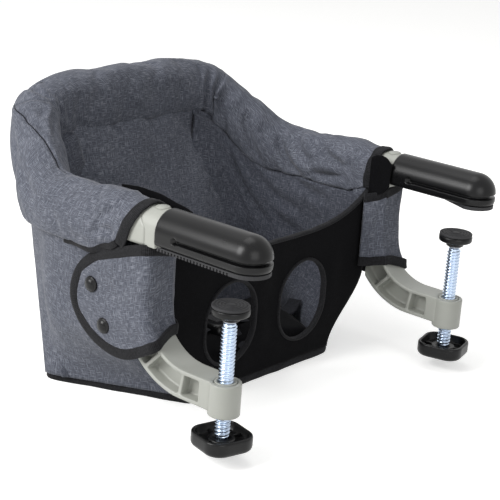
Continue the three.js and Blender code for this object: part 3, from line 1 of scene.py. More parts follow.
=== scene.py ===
"""Looks of a clamp-on child seat: a padded fabric bucket on a bent tube, held by two folding arms.

The part's own frame: +Z up, +Y away from the clamped board, +X to the child's left. Every size here
is in millimetres, and MM turns it to the metres that Blender and the frame use.
"""

import logging
from collections.abc import Sequence
from dataclasses import dataclass
from enum import Enum
from math import cos, hypot, pi, radians, sin

import bpy
import numpy as np
from mathutils import Matrix, Vector


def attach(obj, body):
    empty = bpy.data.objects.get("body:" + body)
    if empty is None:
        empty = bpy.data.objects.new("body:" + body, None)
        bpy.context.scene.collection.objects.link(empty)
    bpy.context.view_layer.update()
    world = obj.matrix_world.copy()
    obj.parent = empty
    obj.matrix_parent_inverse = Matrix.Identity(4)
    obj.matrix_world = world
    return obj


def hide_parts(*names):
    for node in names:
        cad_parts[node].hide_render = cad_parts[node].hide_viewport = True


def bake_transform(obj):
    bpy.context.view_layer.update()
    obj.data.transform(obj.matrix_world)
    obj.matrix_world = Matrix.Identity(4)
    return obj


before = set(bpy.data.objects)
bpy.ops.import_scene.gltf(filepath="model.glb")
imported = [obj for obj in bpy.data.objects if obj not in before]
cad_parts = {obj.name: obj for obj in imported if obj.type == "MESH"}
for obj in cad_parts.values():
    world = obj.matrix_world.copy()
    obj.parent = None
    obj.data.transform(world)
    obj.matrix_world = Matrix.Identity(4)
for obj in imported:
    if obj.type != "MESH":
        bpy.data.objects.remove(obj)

Array = np.ndarray
Piece = bpy.types.Object
Tree = bpy.types.NodeTree
Point = Sequence[float]

MM = 0.001
CLOTH_UV = "cloth"
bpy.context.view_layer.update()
log = logging.getLogger("clamp_on_seat")


class Side(Enum):
    """The child's right and left, with the sign of X there."""

    RIGHT = -1
    LEFT = 1

    @property
    def label(self) -> str:
        """Returns the name that this side's pieces start with."""
        return self.name.lower()


class Slot(Enum):
    """The record's material slots."""

    SLATE = "slate_cloth"
    SHADED = "shaded_cloth"
    BLACK_CLOTH = "black_cloth"
    BINDING = "binding"
    NYLON = "nylon"
    BLACK_PLASTIC = "black_plastic"
    RUBBER = "pad_rubber"
    ZINC = "zinc"
    STEEL = "steel"
    BOARD = "stiffener"


# Colours and nodes


def linear(hex_colour: str) -> tuple[float, float, float, float]:
    """Turns an sRGB hex colour to linear light.

    Args:
        hex_colour: A colour such as "#6a7080".

    Returns:
        Red, green, blue and an alpha of 1.
    """
    channels = [int(hex_colour[i : i + 2], 16) / 255 for i in (1, 3, 5)]
    light = [c / 12.92 if c <= 0.04045 else ((c + 0.055) / 1.055) ** 2.4 for c in channels]
    return (*light, 1.0)


def fill(tree: Tree, node: bpy.types.Node, inputs: dict) -> None:
    """Links or sets a node's inputs.

    Args:
        tree: Its node tree.
        node: The node.
        inputs: A socket to link or a value to set, by input name or number.
    """
    for key, value in inputs.items():
        if isinstance(value, bpy.types.NodeSocket):
            tree.links.new(value, node.inputs[key])
        else:
            node.inputs[key].default_value = value


def add_node(tree: Tree, kind: str, inputs: dict | None = None,
             **settings: object) -> bpy.types.Node:
    """Adds a node with its settings, and links or values for its inputs.

    Args:
        tree: The node tree that gets the node.
        kind: Blender's name for the node's type.
        inputs: What goes into its inputs, as in fill().
        **settings: The node's own properties.

    Returns:
        The new node.
    """
    made = tree.nodes.new(kind)
    for name, value in settings.items():
        setattr(made, name, value)
    fill(tree, made, inputs or {})
    return made


def seen_rays(tree: Tree) -> bpy.types.NodeSocket:
    """Tells the rays that reach the camera straight, by a gloss or through glass from the others.

    Args:
        tree: The node tree.

    Returns:
        The socket: 1 for such rays, else 0.
    """
    path = add_node(tree, "ShaderNodeLightPath")
    seen = path.outputs["Is Camera Ray"]
    for ray in ("Is Glossy Ray", "Is Transmission Ray"):
        inputs = {0: seen, 1: path.outputs[ray]}
        seen = add_node(tree, "ShaderNodeMath", inputs, operation="MAXIMUM").outputs[0]
    return seen


# Finishes


@dataclass(frozen=True)
class Finish:
    """What every finish has: a name, the record's slot that it stands for, and its roughness."""

    name: str
    slot: Slot
    roughness: float

    def material(self) -> bpy.types.Material:
        """Returns the finish as a material, which is made once."""
        made = bpy.data.materials.get(self.name)
        if made is None:
            made = bpy.data.materials.new(self.name)
            made.use_nodes = True
            shader = made.node_tree.nodes["Principled BSDF"]
            shader.inputs["Roughness"].default_value = self.roughness
            fill(made.node_tree, shader, self.paint(made.node_tree))
        return made

    def paint(self, tree: Tree) -> dict:
        """Adds the finish's own nodes.

        Args:
            tree: The material's node tree.

        Returns:
            What goes into the shader's inputs: a socket or a value, by name.
        """
        raise NotImplementedError


@dataclass(frozen=True)
class LinenLook(Finish):
    """Woven polyester with a linen look. Dyed and undyed yarns cross, which gives short slubs in
    two directions and a heathered slate colour with a soft, dry sheen."""

    dark: str
    middle: str
    light: str
    thread: float = 0.8  # the real yarn is 0.4 mm; drawn this coarse, or it wouldn't show
    slub: float = 9.0
    cloud: float = 60.0
    cloud_share: float = 0.14
    to_middle: tuple[float, float] = (0.44, 0.72)
    to_light: tuple[float, float] = (0.64, 0.92)
    relief: float = 0.3
    sheen: float = 0.1

    def paint(self, tree: Tree) -> dict:
        """Crosses two streaked noises over the cloth's own coordinates.

        Args:
            tree: The material's node tree.

        Returns:
            The shader's inputs.
        """
        cloth = add_node(tree, "ShaderNodeUVMap", uv_map=CLOTH_UV).outputs["UV"]
        streaks = []
        for wide, tall in ((self.thread, self.slub), (self.slub, self.thread)):
            scale = (1 / (wide * MM), 1 / (tall * MM), 1.0)
            spread = add_node(tree, "ShaderNodeMapping", {"Vector": cloth, "Scale": scale})
            inputs = {"Vector": spread.outputs[0], "Scale": 1.0, "Detail": 1.0, "Roughness": 0.5}
            streaks.append(add_node(tree, "ShaderNodeTexNoise", inputs).outputs[0])
        crossed = add_node(tree, "ShaderNodeMath", dict(enumerate(streaks)), operation="MAXIMUM")
        cloud = add_node(tree, "ShaderNodeTexNoise",
                         {"Vector": cloth, "Scale": 1 / (self.cloud * MM), "Detail": 3.0})
        tone = add_node(tree, "ShaderNodeMath",
                        {0: cloud.outputs[0], 1: self.cloud_share, 2: crossed.outputs[0]},
                        operation="MULTIPLY_ADD")
        colour = linear(self.dark)
        for lighter, (start, end) in ((self.middle, self.to_middle), (self.light, self.to_light)):
            share = add_node(tree, "ShaderNodeMapRange",
                             {"Value": tone.outputs[0], "From Min": start, "From Max": end})
            inputs = {0: share.outputs[0], 6: colour, 7: linear(lighter)}
            colour = add_node(tree, "ShaderNodeMix", inputs, data_type="RGBA").outputs[2]
        bump = {"Height": crossed.outputs[0], "Strength": 0.5, "Distance": self.relief * MM}
        return {
            "Base Color": colour,
            "Normal": add_node(tree, "ShaderNodeBump", bump).outputs[0],
            "Sheen Weight": self.sheen,
            "Sheen Roughness": 0.5,
            "Specular IOR Level": 2 * self.sheen,
        }


@dataclass(frozen=True)
class RibbedTape(Finish):
    """Black polyester tape or webbing, woven on a narrow loom. Its ribs run straight across, and lint
    and the weave's high spots grey it a little."""

    base: str
    lint: str
    rib: float = 1.6  # the real ribs are 0.6 mm apart; drawn this coarse, or they wouldn't show
    speck: float = 2.4
    relief: float = 0.25

    def paint(self, tree: Tree) -> dict:
        """Runs ribs across the tape and scatters lint along it.

        Args:
            tree: The material's node tree.

        Returns:
            The shader's inputs.
        """
        cloth = add_node(tree, "ShaderNodeUVMap", uv_map=CLOTH_UV).outputs["UV"]
        # A wave texture repeats every pi/10 divided by its scale
        wave = {"Vector": cloth, "Scale": pi / 10 / (self.rib * MM), "Distortion": 0.8}
        ribs = add_node(tree, "ShaderNodeTexWave", wave, bands_direction="X")
        specks = {"Vector": cloth, "Scale": 1 / (self.speck * MM), "Detail": 4.0, "Roughness": 0.7}
        lint = add_node(tree, "ShaderNodeTexNoise", specks)
        worn = add_node(tree, "ShaderNodeMath", {0: ribs.outputs[1], 1: 0.25, 2: lint.outputs[0]},
                        operation="MULTIPLY_ADD").outputs[0]
        share = add_node(tree, "ShaderNodeMapRange", {"Value": worn, "From Min": 0.45, "From Max": 1.0})
        shades = {0: share.outputs[0], 6: linear(self.base), 7: linear(self.lint)}
        bump = {"Height": worn, "Strength": 0.6, "Distance": self.relief * MM}
        return {
            "Base Color": add_node(tree, "ShaderNodeMix", shades, data_type="RGBA").outputs[2],
            "Normal": add_node(tree, "ShaderNodeBump", bump).outputs[0],
            "Sheen Weight": 0.03,
            "Specular IOR Level": 0.15,
        }


@dataclass(frozen=True)
class Moulded(Finish):
    """Injection-moulded plastic or rubber. A spark-eroded mould leaves a fine grain, so highlights
    are soft, and the colour drifts slightly with the flow."""

    base: str
    drift: str
    flow: float = 38.0
    grain: float = 0.7  # the real grain is 0.1 mm; drawn this coarse, or it wouldn't show
    relief: float = 0.03
    specular: float = 0.5

    def paint(self, tree: Tree) -> dict:
        """Lays a fine grain and a broad drift of colour and gloss over the piece.

        Args:
            tree: The material's node tree.

        Returns:
            The shader's inputs.
        """
        spot = add_node(tree, "ShaderNodeTexCoord").outputs["Object"]
        noises = []
        for size, detail in ((self.flow, 3.0), (self.grain, 2.0)):
            inputs = {"Vector": spot, "Scale": 1 / (size * MM), "Detail": detail, "Roughness": 0.5}
            noises.append(add_node(tree, "ShaderNodeTexNoise", inputs).outputs[0])
        flow, grain = noises
        shades = {0: flow, 6: linear(self.base), 7: linear(self.drift)}
        gloss = {"Value": flow, "To Min": self.roughness - 0.05, "To Max": self.roughness + 0.07}
        bump = {"Height": grain, "Strength": 0.35, "Distance": self.relief * MM}
        return {
            "Base Color": add_node(tree, "ShaderNodeMix", shades, data_type="RGBA").outputs[2],
            "Roughness": add_node(tree, "ShaderNodeMapRange", gloss).outputs[0],
            "Normal": add_node(tree, "ShaderNodeBump", bump).outputs[0],
            "Specular IOR Level": self.specular,
        }


@dataclass(frozen=True)
class PlatedSteel(Finish):
    """Steel, rolled or drawn and then plated or left bare. Plating gives bright zinc its blue cast, and
    handling leaves faint dull patches."""

    base: str
    patch: str
    mottle: float = 5.0

    def paint(self, tree: Tree) -> dict:
        """Mottles a metal's colour and gloss.

        Args:
            tree: The material's node tree.

        Returns:
            The shader's inputs.
        """
        spot = add_node(tree, "ShaderNodeTexCoord").outputs["Object"]
        inputs = {"Vector": spot, "Scale": 1 / (self.mottle * MM), "Detail": 4.0, "Roughness": 0.65}
        mottle = add_node(tree, "ShaderNodeTexNoise", inputs).outputs[0]
        shades = {0: mottle, 6: linear(self.base), 7: linear(self.patch)}
        gloss = {"Value": mottle, "To Min": self.roughness - 0.06, "To Max": self.roughness + 0.12}
        return {
            "Base Color": add_node(tree, "ShaderNodeMix", shades, data_type="RGBA").outputs[2],
            "Roughness": add_node(tree, "ShaderNodeMapRange", gloss).outputs[0],
            "Metallic": 1.0,
        }


SLATE_LINEN = LinenLook("slate_linen_look", Slot.SLATE, 0.92, "#3c3f48", "#5b5e68", "#8a8d96")
# Painted shade: the lining is the slate cloth drawn darker, for the shade deep inside the bucket
SHADED_LINEN = LinenLook("shaded_linen_look", Slot.SHADED, 0.92, "#33353d", "#4d505a", "#767982")
BLACK_LINEN = LinenLook("black_polyester", Slot.BLACK_CLOTH, 0.9, "#050507", "#09090b", "#121215",
                        slub=6.0, sheen=0.03)
BINDING_TAPE = RibbedTape("binding_tape", Slot.BINDING, 0.8, "#09090b", "#2e2e31")
WEBBING = RibbedTape("strap_webbing", Slot.BINDING, 0.75, "#141518", "#33343a", rib=1.9)
# Painted shade: a near-black cord laid in a seam's groove, where the gap between the panels falls into
# shade
SEAM_SHADE_CORD = RibbedTape("seam_gap_painted_shade", Slot.BINDING, 0.7, "#111217", "#25272e", rib=0.9)
PALE_NYLON = Moulded("moulded_pale_nylon", Slot.NYLON, 0.42, "#a2a39d", "#959790")
BLACK_ABS = Moulded("moulded_black_abs", Slot.BLACK_PLASTIC, 0.28, "#0d0d0e", "#121213", specular=0.24)
PAD_RUBBER = Moulded("moulded_pad_rubber", Slot.RUBBER, 0.7, "#1a1a1c", "#242427", relief=0.06)
BRIGHT_ZINC = PlatedSteel("bright_zinc_plate", Slot.ZINC, 0.24, "#cfdced", "#aebfd6")
DRAWN_STEEL = PlatedSteel("drawn_steel", Slot.STEEL, 0.36, "#a9acb1", "#8d9096")
GREY_BOARD = Moulded("pressed_grey_board", Slot.BOARD, 0.85, "#2b2b2d", "#3a3936", grain=2.0, relief=0.1)


# Meshes


def lerp(a: float, b: float, share: float) -> float:
    """Returns the value between a and b at a share; arrays work too."""
    return a + (b - a) * share


def smooth(x: Array | float, low: float, high: float) -> Array:
    """Returns a smooth step from 0 at low to 1 at high."""
    t = np.clip((np.asarray(x, float) - low) / (high - low), 0, 1)
    return t * t * (3 - 2 * t)


def unit(vectors: Array) -> Array:
    """Returns vectors of length 1."""
    return vectors / np.maximum(np.linalg.norm(vectors, axis=-1, keepdims=True), 1e-12)


def points_of(*parts: Array | float) -> Array:
    """Returns points from their coordinates, each an array or one value for all of them."""
    return np.stack(np.broadcast_arrays(*parts), axis=-1)


def turns(count: int) -> Array:
    """Returns evenly spaced angles of one whole turn."""
    return np.arange(count) * 2 * pi / count


def squared(values: Array, power: float) -> Array:
    """Returns sines or cosines pushed outwards, by a power below 1, for a circle with flat sides."""
    return np.sign(values) * np.abs(values) ** power


def headings(line: Array, closed: bool = False) -> Array:
    """Unit tangents along a line.

    Args:
        line: Its points.
        closed: Whether its ends meet.

    Returns:
        A tangent for each point.
    """
    if closed:
        return unit(np.roll(line, -1, axis=0) - np.roll(line, 1, axis=0))
    return unit(np.gradient(line, axis=0))


def ripple(a: Array, b: Array, wavelength: float, seed: int) -> Array:
    """Broad, irregular waves over a surface.

    Args:
        a: One coordinate of each point, in millimetres.
        b: The other.
        wavelength: The usual distance between crests.
        seed: Which waves.

    Returns:
        Heights that stay mostly between -1 and 1.
    """
    draw = np.random.default_rng(seed)
    total = np.zeros(np.broadcast(a, b).shape)
    for _ in range(9):
        turn, phase = draw.uniform(0, 2 * pi, 2)
        k = 2 * pi / (wavelength * draw.uniform(0.7, 1.6))
        total += np.sin(k * (a * cos(turn) + b * sin(turn)) + phase)
    return total / 3.4


def spline(stops: Sequence[Point], shares: Array) -> Array:
    """A smooth curve through stops that are evenly spaced along it.

    Args:
        stops: The points it passes through.
        shares: Where to read it, from 0 to 1.

    Returns:
        One row for each share.
    """
    points = np.asarray(stops, float)
    place = np.clip(shares, 0, 1) * (len(points) - 1)
    k = np.minimum(place.astype(int), len(points) - 2)
    t = (place - k)[:, None]
    before, after = points[np.maximum(k - 1, 0)], points[np.minimum(k + 2, len(points) - 1)]
    a, b = points[k], points[k + 1]
    u, v = (b - before) * 0.5, (after - a) * 0.5
    return a + u * t + (3 * (b - a) - 2 * u - v) * t**2 + (2 * (a - b) + u + v) * t**3


def even(points: Array, count: int) -> Array:
    """A line's points again, evenly spaced along it.

    Args:
        points: The line's points, one a row.
        count: How many to give back.

    Returns:
        The new points.
    """
    run = np.concatenate([[0], np.cumsum(np.linalg.norm(np.diff(points, axis=0), axis=1))])
    at = np.linspace(0, run[-1], count)
    return points_of(*(np.interp(at, run, column) for column in points.T))


def along(grid: Array, axis: int) -> Array:
    """How far each point of a grid lies along its row or column.

    Args:
        grid: Rows of points.
        axis: 1 along the rows, 0 along the columns.

    Returns:
        The lengths, in the grid's unit.
    """
    step = np.linalg.norm(np.diff(grid, axis=axis), axis=-1)
    start = np.zeros_like(np.take(step, [0], axis=axis))
    return np.concatenate([start, np.cumsum(step, axis=axis)], axis=axis)


def cloth_uv(grid: Array) -> Array:
    """Returns a grid's own lengths along its rows and columns, for a weave that follows the cloth."""
    down, across = along(grid, 0), along(grid, 1)
    return points_of(across - across.mean(1, keepdims=True), down)


def normals(grid: Array) -> Array:
    """Returns the directions that the outer face of a sheet over this grid looks in."""
    return unit(np.cross(np.gradient(grid, axis=1), np.gradient(grid, axis=0)))


def finer(grid: Array, times: int) -> Array:
    """A grid with more rows and columns, on smooth curves through its own points.

    Args:
        grid: The grid.
        times: How many steps replace each step.

    Returns:
        The finer grid.
    """
    for _ in range(2):
        count = (len(grid) - 1) * times + 1
        shape = grid.shape
        grid = spline(grid.reshape(shape[0], -1), np.linspace(0, 1, count)).reshape(count, *shape[1:])
        grid = grid.transpose(1, 0, 2)
    return grid


def mirrored(grid: Array) -> Array:
    """Returns a grid for the other side, with its columns turned round so that it still faces out."""
    return grid[:, ::-1] * np.array([-1.0, 1, 1])


def on_side(side: Side, *grids: Array) -> list[Array]:
    """Returns the right side's grids as they are on either side."""
    return [mirrored(grid) for grid in grids] if side is Side.LEFT else list(grids)


def add_object(name: str, data: bpy.types.ID) -> Piece:
    """Adds an object to the scene.

    Args:
        name: Its name.
        data: Its mesh, light or camera.

    Returns:
        The object.
    """
    made = bpy.data.objects.new(name, data)
    bpy.context.scene.collection.objects.link(made)
    return made


def points_in(obj: Piece) -> Array:
    """Returns a mesh's points in metres."""
    return np.array([v.co for v in obj.data.vertices]).reshape(-1, 3)


def turn_over(obj: Piece) -> None:
    """Mirrors a mesh across the middle, so that it fits the other side."""
    obj.data.transform(Matrix.Scale(-1, 4, Vector((1, 0, 0))))
    obj.data.flip_normals()


def mesh_object(name: str, points: Array, faces: list, uv: Array | None = None) -> Piece:
    """Makes an object from points, faces and the cloth coordinates of each face corner.

    Args:
        name: The piece's name.
        points: Its points in millimetres.
        faces: Its faces as lists of point numbers.
        uv: A place on the cloth for each corner of each face, in millimetres.

    Returns:
        The object, in the scene, with smooth shading.
    """
    mesh = bpy.data.meshes.new(name)
    mesh.from_pydata((np.asarray(points, float) * MM).tolist(), [], faces)
    if uv is not None:
        layer = mesh.uv_layers.new(name=CLOTH_UV)
        layer.data.foreach_set("uv", (np.asarray(uv, float) * MM).ravel())
    mesh.validate()
    mesh.shade_smooth()
    return add_object(name, mesh)


def wall_faces(rows: int, columns: int, closed: bool) -> tuple[list, list]:
    """Faces over a grid of points.

    Args:
        rows: How many rows the grid has.
        columns: How many columns.
        closed: Whether the last column joins the first.

    Returns:
        The faces, and for each face corner its row and column before they wrap.
    """
    faces, corners = [], []
    for i in range(rows - 1):
        for j in range(columns if closed else columns - 1):
            k = (j + 1) % columns
            faces.append([i * columns + j, i * columns + k, (i + 1) * columns + k, (i + 1) * columns + j])
            corners += [(i, j), (i, j + 1), (i + 1, j + 1), (i + 1, j)]
    return faces, corners


def sheet_solid(name: str, outer: Array, inner: Array, uv: Array | None = None) -> Piece:
    """A closed sheet between two grids of points.

    Args:
        name: The piece's name.
        outer: The grid of its outer face.
        inner: The grid of its inner face, point for point.
        uv: The cloth coordinates of the grid, or the grid's own lengths where there are none.

    Returns:
        The object.
    """
    rows, columns = outer.shape[:2]
    uv = cloth_uv(outer) if uv is None else uv
    faces, corners = wall_faces(rows, columns, False)
    half = rows * columns
    places = [uv[i, j] for i, j in corners]
    back = [[half + k for k in reversed(face)] for face in faces]
    back_places = [uv[corners[4 * n + k]] for n in range(len(faces)) for k in (3, 2, 1, 0)]
    rim = [(0, j) for j in range(columns - 1)] + [(i, columns - 1) for i in range(rows - 1)]
    rim += [(rows - 1, j) for j in range(columns - 1, 0, -1)] + [(i, 0) for i in range(rows - 1, 0, -1)]
    for n, (i, j) in enumerate(rim):
        k, m = rim[(n + 1) % len(rim)]
        a, b = i * columns + j, k * columns + m
        back.append([b, a, half + a, half + b])
        back_places += [uv[k, m], uv[i, j], uv[i, j], uv[k, m]]
    points = np.concatenate([outer.reshape(-1, 3), inner.reshape(-1, 3)])
    return mesh_object(name, points, faces + back, np.array(places + back_places))


def tube_solid(name: str, rings: Array, closed: bool = False) -> Piece:
    """A solid through rings of points, with its ends filled, or joined to each other.

    Args:
        name: The piece's name.
        rings: Rings of points: first index along, second round.
        closed: Whether the last ring joins the first.

    Returns:
        The object.
    """
    count, columns = rings.shape[:2]
    loop = np.concatenate([rings, rings[:1]]) if closed else rings
    faces, corners = wall_faces(len(loop), columns, True)
    if closed:
        faces = [[k % (count * columns) for k in face] for face in faces]
    wide = np.concatenate([loop, loop[:, :1]], axis=1)
    uv = points_of(along(wide, 0)[:, :1].repeat(columns + 1, 1), along(wide, 1))
    places = [uv[i, j] for i, j in corners]
    if not closed:
        faces += [list(range(columns))[::-1], [(count - 1) * columns + j for j in range(columns)]]
        places += [uv[0, j] for j in range(columns)][::-1] + [uv[-1, j] for j in range(columns)]
    return facing_out(mesh_object(name, rings.reshape(-1, 3), faces, np.array(places)))


def facing_out(obj: Piece) -> Piece:
    """Turns a closed mesh's faces outwards.

    Args:
        obj: The object.

    Returns:
        The same object.
    """
    mesh = obj.data
    mesh.calc_loop_triangles()
    points = points_in(obj)
    tris = points[np.array([t.vertices for t in mesh.loop_triangles]).reshape(-1, 3)]
    volume = np.einsum("ij,ij->i", tris[:, 0], np.cross(tris[:, 1], tris[:, 2])).sum()
    if volume < 0:
        mesh.flip_normals()
    return obj


def lathe(name: str, profile: Sequence[Point], centre: Point, axis: str = "Z",
          sides: int = 56) -> Piece:
    """A turned solid.

    Args:
        name: The piece's name.
        profile: Its radius and height at each stop, from one end's middle to the other's.
        centre: Where its axis and its height of 0 are.
        axis: "Z" for upright, or "X" to lie across, its height growing to the right side.
        sides: How many faces it has round.

    Returns:
        The object.
    """
    turn = turns(sides)
    rows = []
    for radius, height in profile:
        radius = max(radius, 0.02)
        a, b = radius * np.cos(turn), radius * np.sin(turn)
        rows.append(points_of(a, b, height) if axis == "Z" else points_of(-height, a, b))
    return tube_solid(name, np.array(rows) + np.asarray(centre, float))


def prism(points: Sequence[Point], low: float, high: float, axis: str) -> tuple:
    """A drawn outline run along an axis, as points and faces.

    Args:
        points: The outline, in YZ for axis "X", XZ for "Y" and XY for "Z".
        low: Where it starts on the axis.
        high: Where it ends.
        axis: "X", "Y" or "Z".

    Returns:
        Its points and faces, for joined().
    """
    flat = np.asarray(points, float)
    spot = "XYZ".index(axis)
    ends = [np.insert(flat, spot, level, axis=1) for level in (low, high)]
    count = len(flat)
    faces = [list(range(count))[::-1], list(range(count, 2 * count))]
    faces += [[k, (k + 1) % count, count + (k + 1) % count, count + k] for k in range(count)]
    return np.concatenate(ends), faces


def joined(name: str, solids: Sequence[tuple]) -> Piece:
    """Several solids that overlap, as one object for a remesh to fuse.

    Args:
        name: The piece's name.
        solids: Points and faces of each.

    Returns:
        The object.
    """
    points, faces, start = [], [], 0
    for solid, sides in solids:
        one = facing_out(mesh_object("part", solid, sides))
        faces += [[start + k for k in p.vertices] for p in one.data.polygons]
        points.append(solid)
        start += len(solid)
        remove(one)
    return mesh_object(name, np.concatenate(points), faces)


def remove(obj: Piece) -> None:
    """Deletes an object and its mesh.

    Args:
        obj: The object.
    """
    mesh = obj.data
    bpy.data.objects.remove(obj)
    bpy.data.meshes.remove(mesh)


def settle(obj: Piece) -> Piece:
    """Applies every modifier.

    Args:
        obj: The object.

    Returns:
        The same object.
    """
    shown = obj.evaluated_get(bpy.context.evaluated_depsgraph_get())
    mesh = bpy.data.meshes.new_from_object(shown)
    old = obj.data
    obj.modifiers.clear()
    obj.data = mesh
    bpy.data.meshes.remove(old)
    mesh.shade_smooth()
    return obj


def voxel_skin(obj: Piece, voxel: float) -> None:
    """Adds a modifier that gives overlapping solids one skin.

    Args:
        obj: The object.
        voxel: How fine the skin is, in millimetres.
    """
    remesh = obj.modifiers.new("skin", "REMESH")
    remesh.mode = "VOXEL"
    remesh.voxel_size = voxel * MM


def combine(obj: Piece, other: Piece, kind: str) -> None:
    """Adds an exact boolean with another object.

    Args:
        obj: The object.
        other: The other one.
        kind: The boolean, as Blender names it.
    """
    cut = obj.modifiers.new("cut", "BOOLEAN")
    cut.operation = kind
    cut.object = other
    cut.solver = "EXACT"


def fuse(obj: Piece, voxel: float, rounding: int, keep: float = 1.0) -> Piece:
    """Fuses overlapping solids into one skin with rounded edges, as a moulding has.

    Args:
        obj: The object.
        voxel: How fine the skin is, in millimetres.
        rounding: How many times the skin is smoothed.
        keep: The share of its faces that stays.

    Returns:
        The object.
    """
    voxel_skin(obj, voxel)
    relax = obj.modifiers.new("rounding", "SMOOTH")
    relax.factor = 0.5
    relax.iterations = rounding
    if keep < 1:
        thin = obj.modifiers.new("thinning", "DECIMATE")
        thin.ratio = keep
    return settle(obj)


def soften(obj: Piece, width: float, segments: int = 3) -> Piece:
    """Rounds a solid's sharp edges.

    Args:
        obj: The object.
        width: How wide the rounding is, in millimetres.
        segments: How many faces it has.

    Returns:
        The object.
    """
    bevel = obj.modifiers.new("edges", "BEVEL")
    bevel.width = width * MM
    bevel.segments = segments
    bevel.limit_method = "ANGLE"
    bevel.angle_limit = radians(35)
    bevel.use_clamp_overlap = True
    settle(obj)
    obj.data.set_sharp_from_angle(angle=radians(40))
    return obj


def cad_copy(name: str, cad_node: str) -> Piece:
    """Copies a CAD node's mesh to a new object.

    Args:
        name: The piece's name.
        cad_node: The node's name.

    Returns:
        The object.
    """
    made = add_object(name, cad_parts[cad_node].data.copy())
    made.data.materials.clear()
    return made


def box_cloth_uv(obj: Piece) -> Piece:
    """Gives a soft solid cloth coordinates from the two axes that each face lies along most.

    Args:
        obj: The object.

    Returns:
        The same object.
    """
    mesh = obj.data
    layer = mesh.uv_layers.get(CLOTH_UV) or mesh.uv_layers.new(name=CLOTH_UV)
    for face in mesh.polygons:
        drop = max(range(3), key=lambda k: abs(face.normal[k]))
        keep = [k for k in range(3) if k != drop]
        for loop in face.loop_indices:
            point = mesh.vertices[mesh.loops[loop].vertex_index].co
            layer.data[loop].uv = (point[keep[0]], point[keep[1]])
    return obj


def simulate(obj: Piece, pressure: float, frames: int, cap: float,
             pins: Array | None = None, growth: float = 0.0) -> None:
    """Swells a piece as cloth over its filling, and keeps the result in its mesh.

    Args:
        obj: The piece.
        pressure: How hard the filling pushes.
        frames: How many steps to run.
        cap: How far a point may move, in millimetres.
        pins: How firmly each point is held, from 0 to 1.
        growth: The share by which the cloth is cut larger than its form, so that it wrinkles.
    """
    cloth = obj.modifiers.new("filling", "CLOTH")
    settings = cloth.settings
    values = {"quality": 5, "mass": 0.3, "tension_stiffness": 14, "compression_stiffness": 10,
              "shear_stiffness": 6, "bending_stiffness": 0.4, "use_pressure": True,
              "uniform_pressure_force": pressure, "shrink_min": -growth}
    for name, value in values.items():
        setattr(settings, name, value)
    settings.effector_weights.gravity = 0
    cloth.collision_settings.use_collision = False
    if pins is not None:
        group = obj.vertex_groups.new(name="sewn")
        for k in np.flatnonzero(pins > 0):
            group.add([int(k)], float(pins[k]), "REPLACE")
        settings.vertex_group_mass = "sewn"
        settings.pin_stiffness = 3
    rest = points_in(obj)
    scene = bpy.context.scene
    for step in range(1, frames + 1):
        scene.frame_set(step)
    shown = obj.evaluated_get(bpy.context.evaluated_depsgraph_get())
    moved = np.empty(len(rest) * 3)
    shown.data.vertices.foreach_get("co", moved)
    shift = moved.reshape(-1, 3) - rest
    reach = np.linalg.norm(shift, axis=1, keepdims=True)
    shift *= np.minimum(1, cap * MM / np.maximum(reach, 1e-9))
    obj.modifiers.remove(cloth)
    obj.vertex_groups.clear()
    obj.data.vertices.foreach_set("co", (rest + shift).ravel())
    obj.data.update()
    scene.frame_set(1)


def place(obj: Piece, finish: Finish, body: str | tuple, *replaced: str) -> None:
    """Dresses a piece, ties it to the body that carries it unless it bends, and reports it.

    Args:
        obj: The piece, in its final shape.
        finish: Its finish.
        body: The CAD body it rides on, or the two bodies it bends between and the points, in
            millimetres, where the bend starts and ends, which are not used.
        *replaced: The CAD nodes that it stands for.
    """
    obj.data.materials.clear()
    obj.data.materials.append(finish.material())
    if isinstance(body, str):
        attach(obj, body)
    else:
        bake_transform(obj)
    if replaced:
        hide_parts(*replaced)
    log.info("%s: %d faces, %s", obj.name, len(obj.data.polygons), finish.name)


def cord_mesh(name: str, line: Array, radius: float) -> Piece:
    """A round cord along a line, such as the dark cord that paints the shade in a seam's gap.

    Args:
        name: The piece's name.
        line: The points of its middle.
        radius: Its radius.

    Returns:
        The object.
    """
    run = headings(line)
    side = unit(np.cross(run, np.array([0.13, 0.21, 0.97])))
    up = unit(np.cross(side, run))
    turn = turns(8)
    rings = line[:, None] + radius * (
        side[:, None] * np.cos(turn)[None, :, None] + up[:, None] * np.sin(turn)[None, :, None]
    )
    return tube_solid(name, rings)


def band(name: str, line: Array, facing: Sequence, width: float, thickness: float,
         closed: bool = False, crumple: float = 0.0, seed: int = 0) -> Piece:
    """A tape with a slightly puffed section that lies along a line.

    Args:
        name: The piece's name.
        line: The points of its middle.
        facing: The direction that its face looks in, at each point or for all of them.
        width: How wide it is.
        thickness: How thick it is in its middle.
        closed: Whether its ends meet.
        crumple: How far its face waves in and out.
        seed: Which waves.

    Returns:
        The object.
    """
    run = headings(line, closed)
    facing = np.broadcast_to(np.asarray(facing, float), line.shape)
    up = unit(facing - np.sum(facing * run, axis=1, keepdims=True) * run)
    side = np.cross(run, up)
    turn = turns(16)
    across, above = squared(np.cos(turn), 0.72), squared(np.sin(turn), 0.6)
    rings = line[:, None] + side[:, None] * (width / 2 * across)[None, :, None]
    rings = rings + up[:, None] * (thickness / 2 * above)[None, :, None]
    if crumple:
        at = along(line[:, None], 0)[:, 0]
        a, b = at, np.zeros_like(at)
        if closed:
            turn, radius = at / max(at[-1], 1) * 2 * pi, at[-1] / 6.3
            a, b = np.cos(turn) * radius, np.sin(turn) * radius
        wave = ripple(a[:, None], b[:, None] + across * width, 26.0, seed)
        rings = rings + up[:, None] * (wave * crumple * np.maximum(above, 0))[..., None]
    return tube_solid(name, rings, closed)


# The tube and its cover


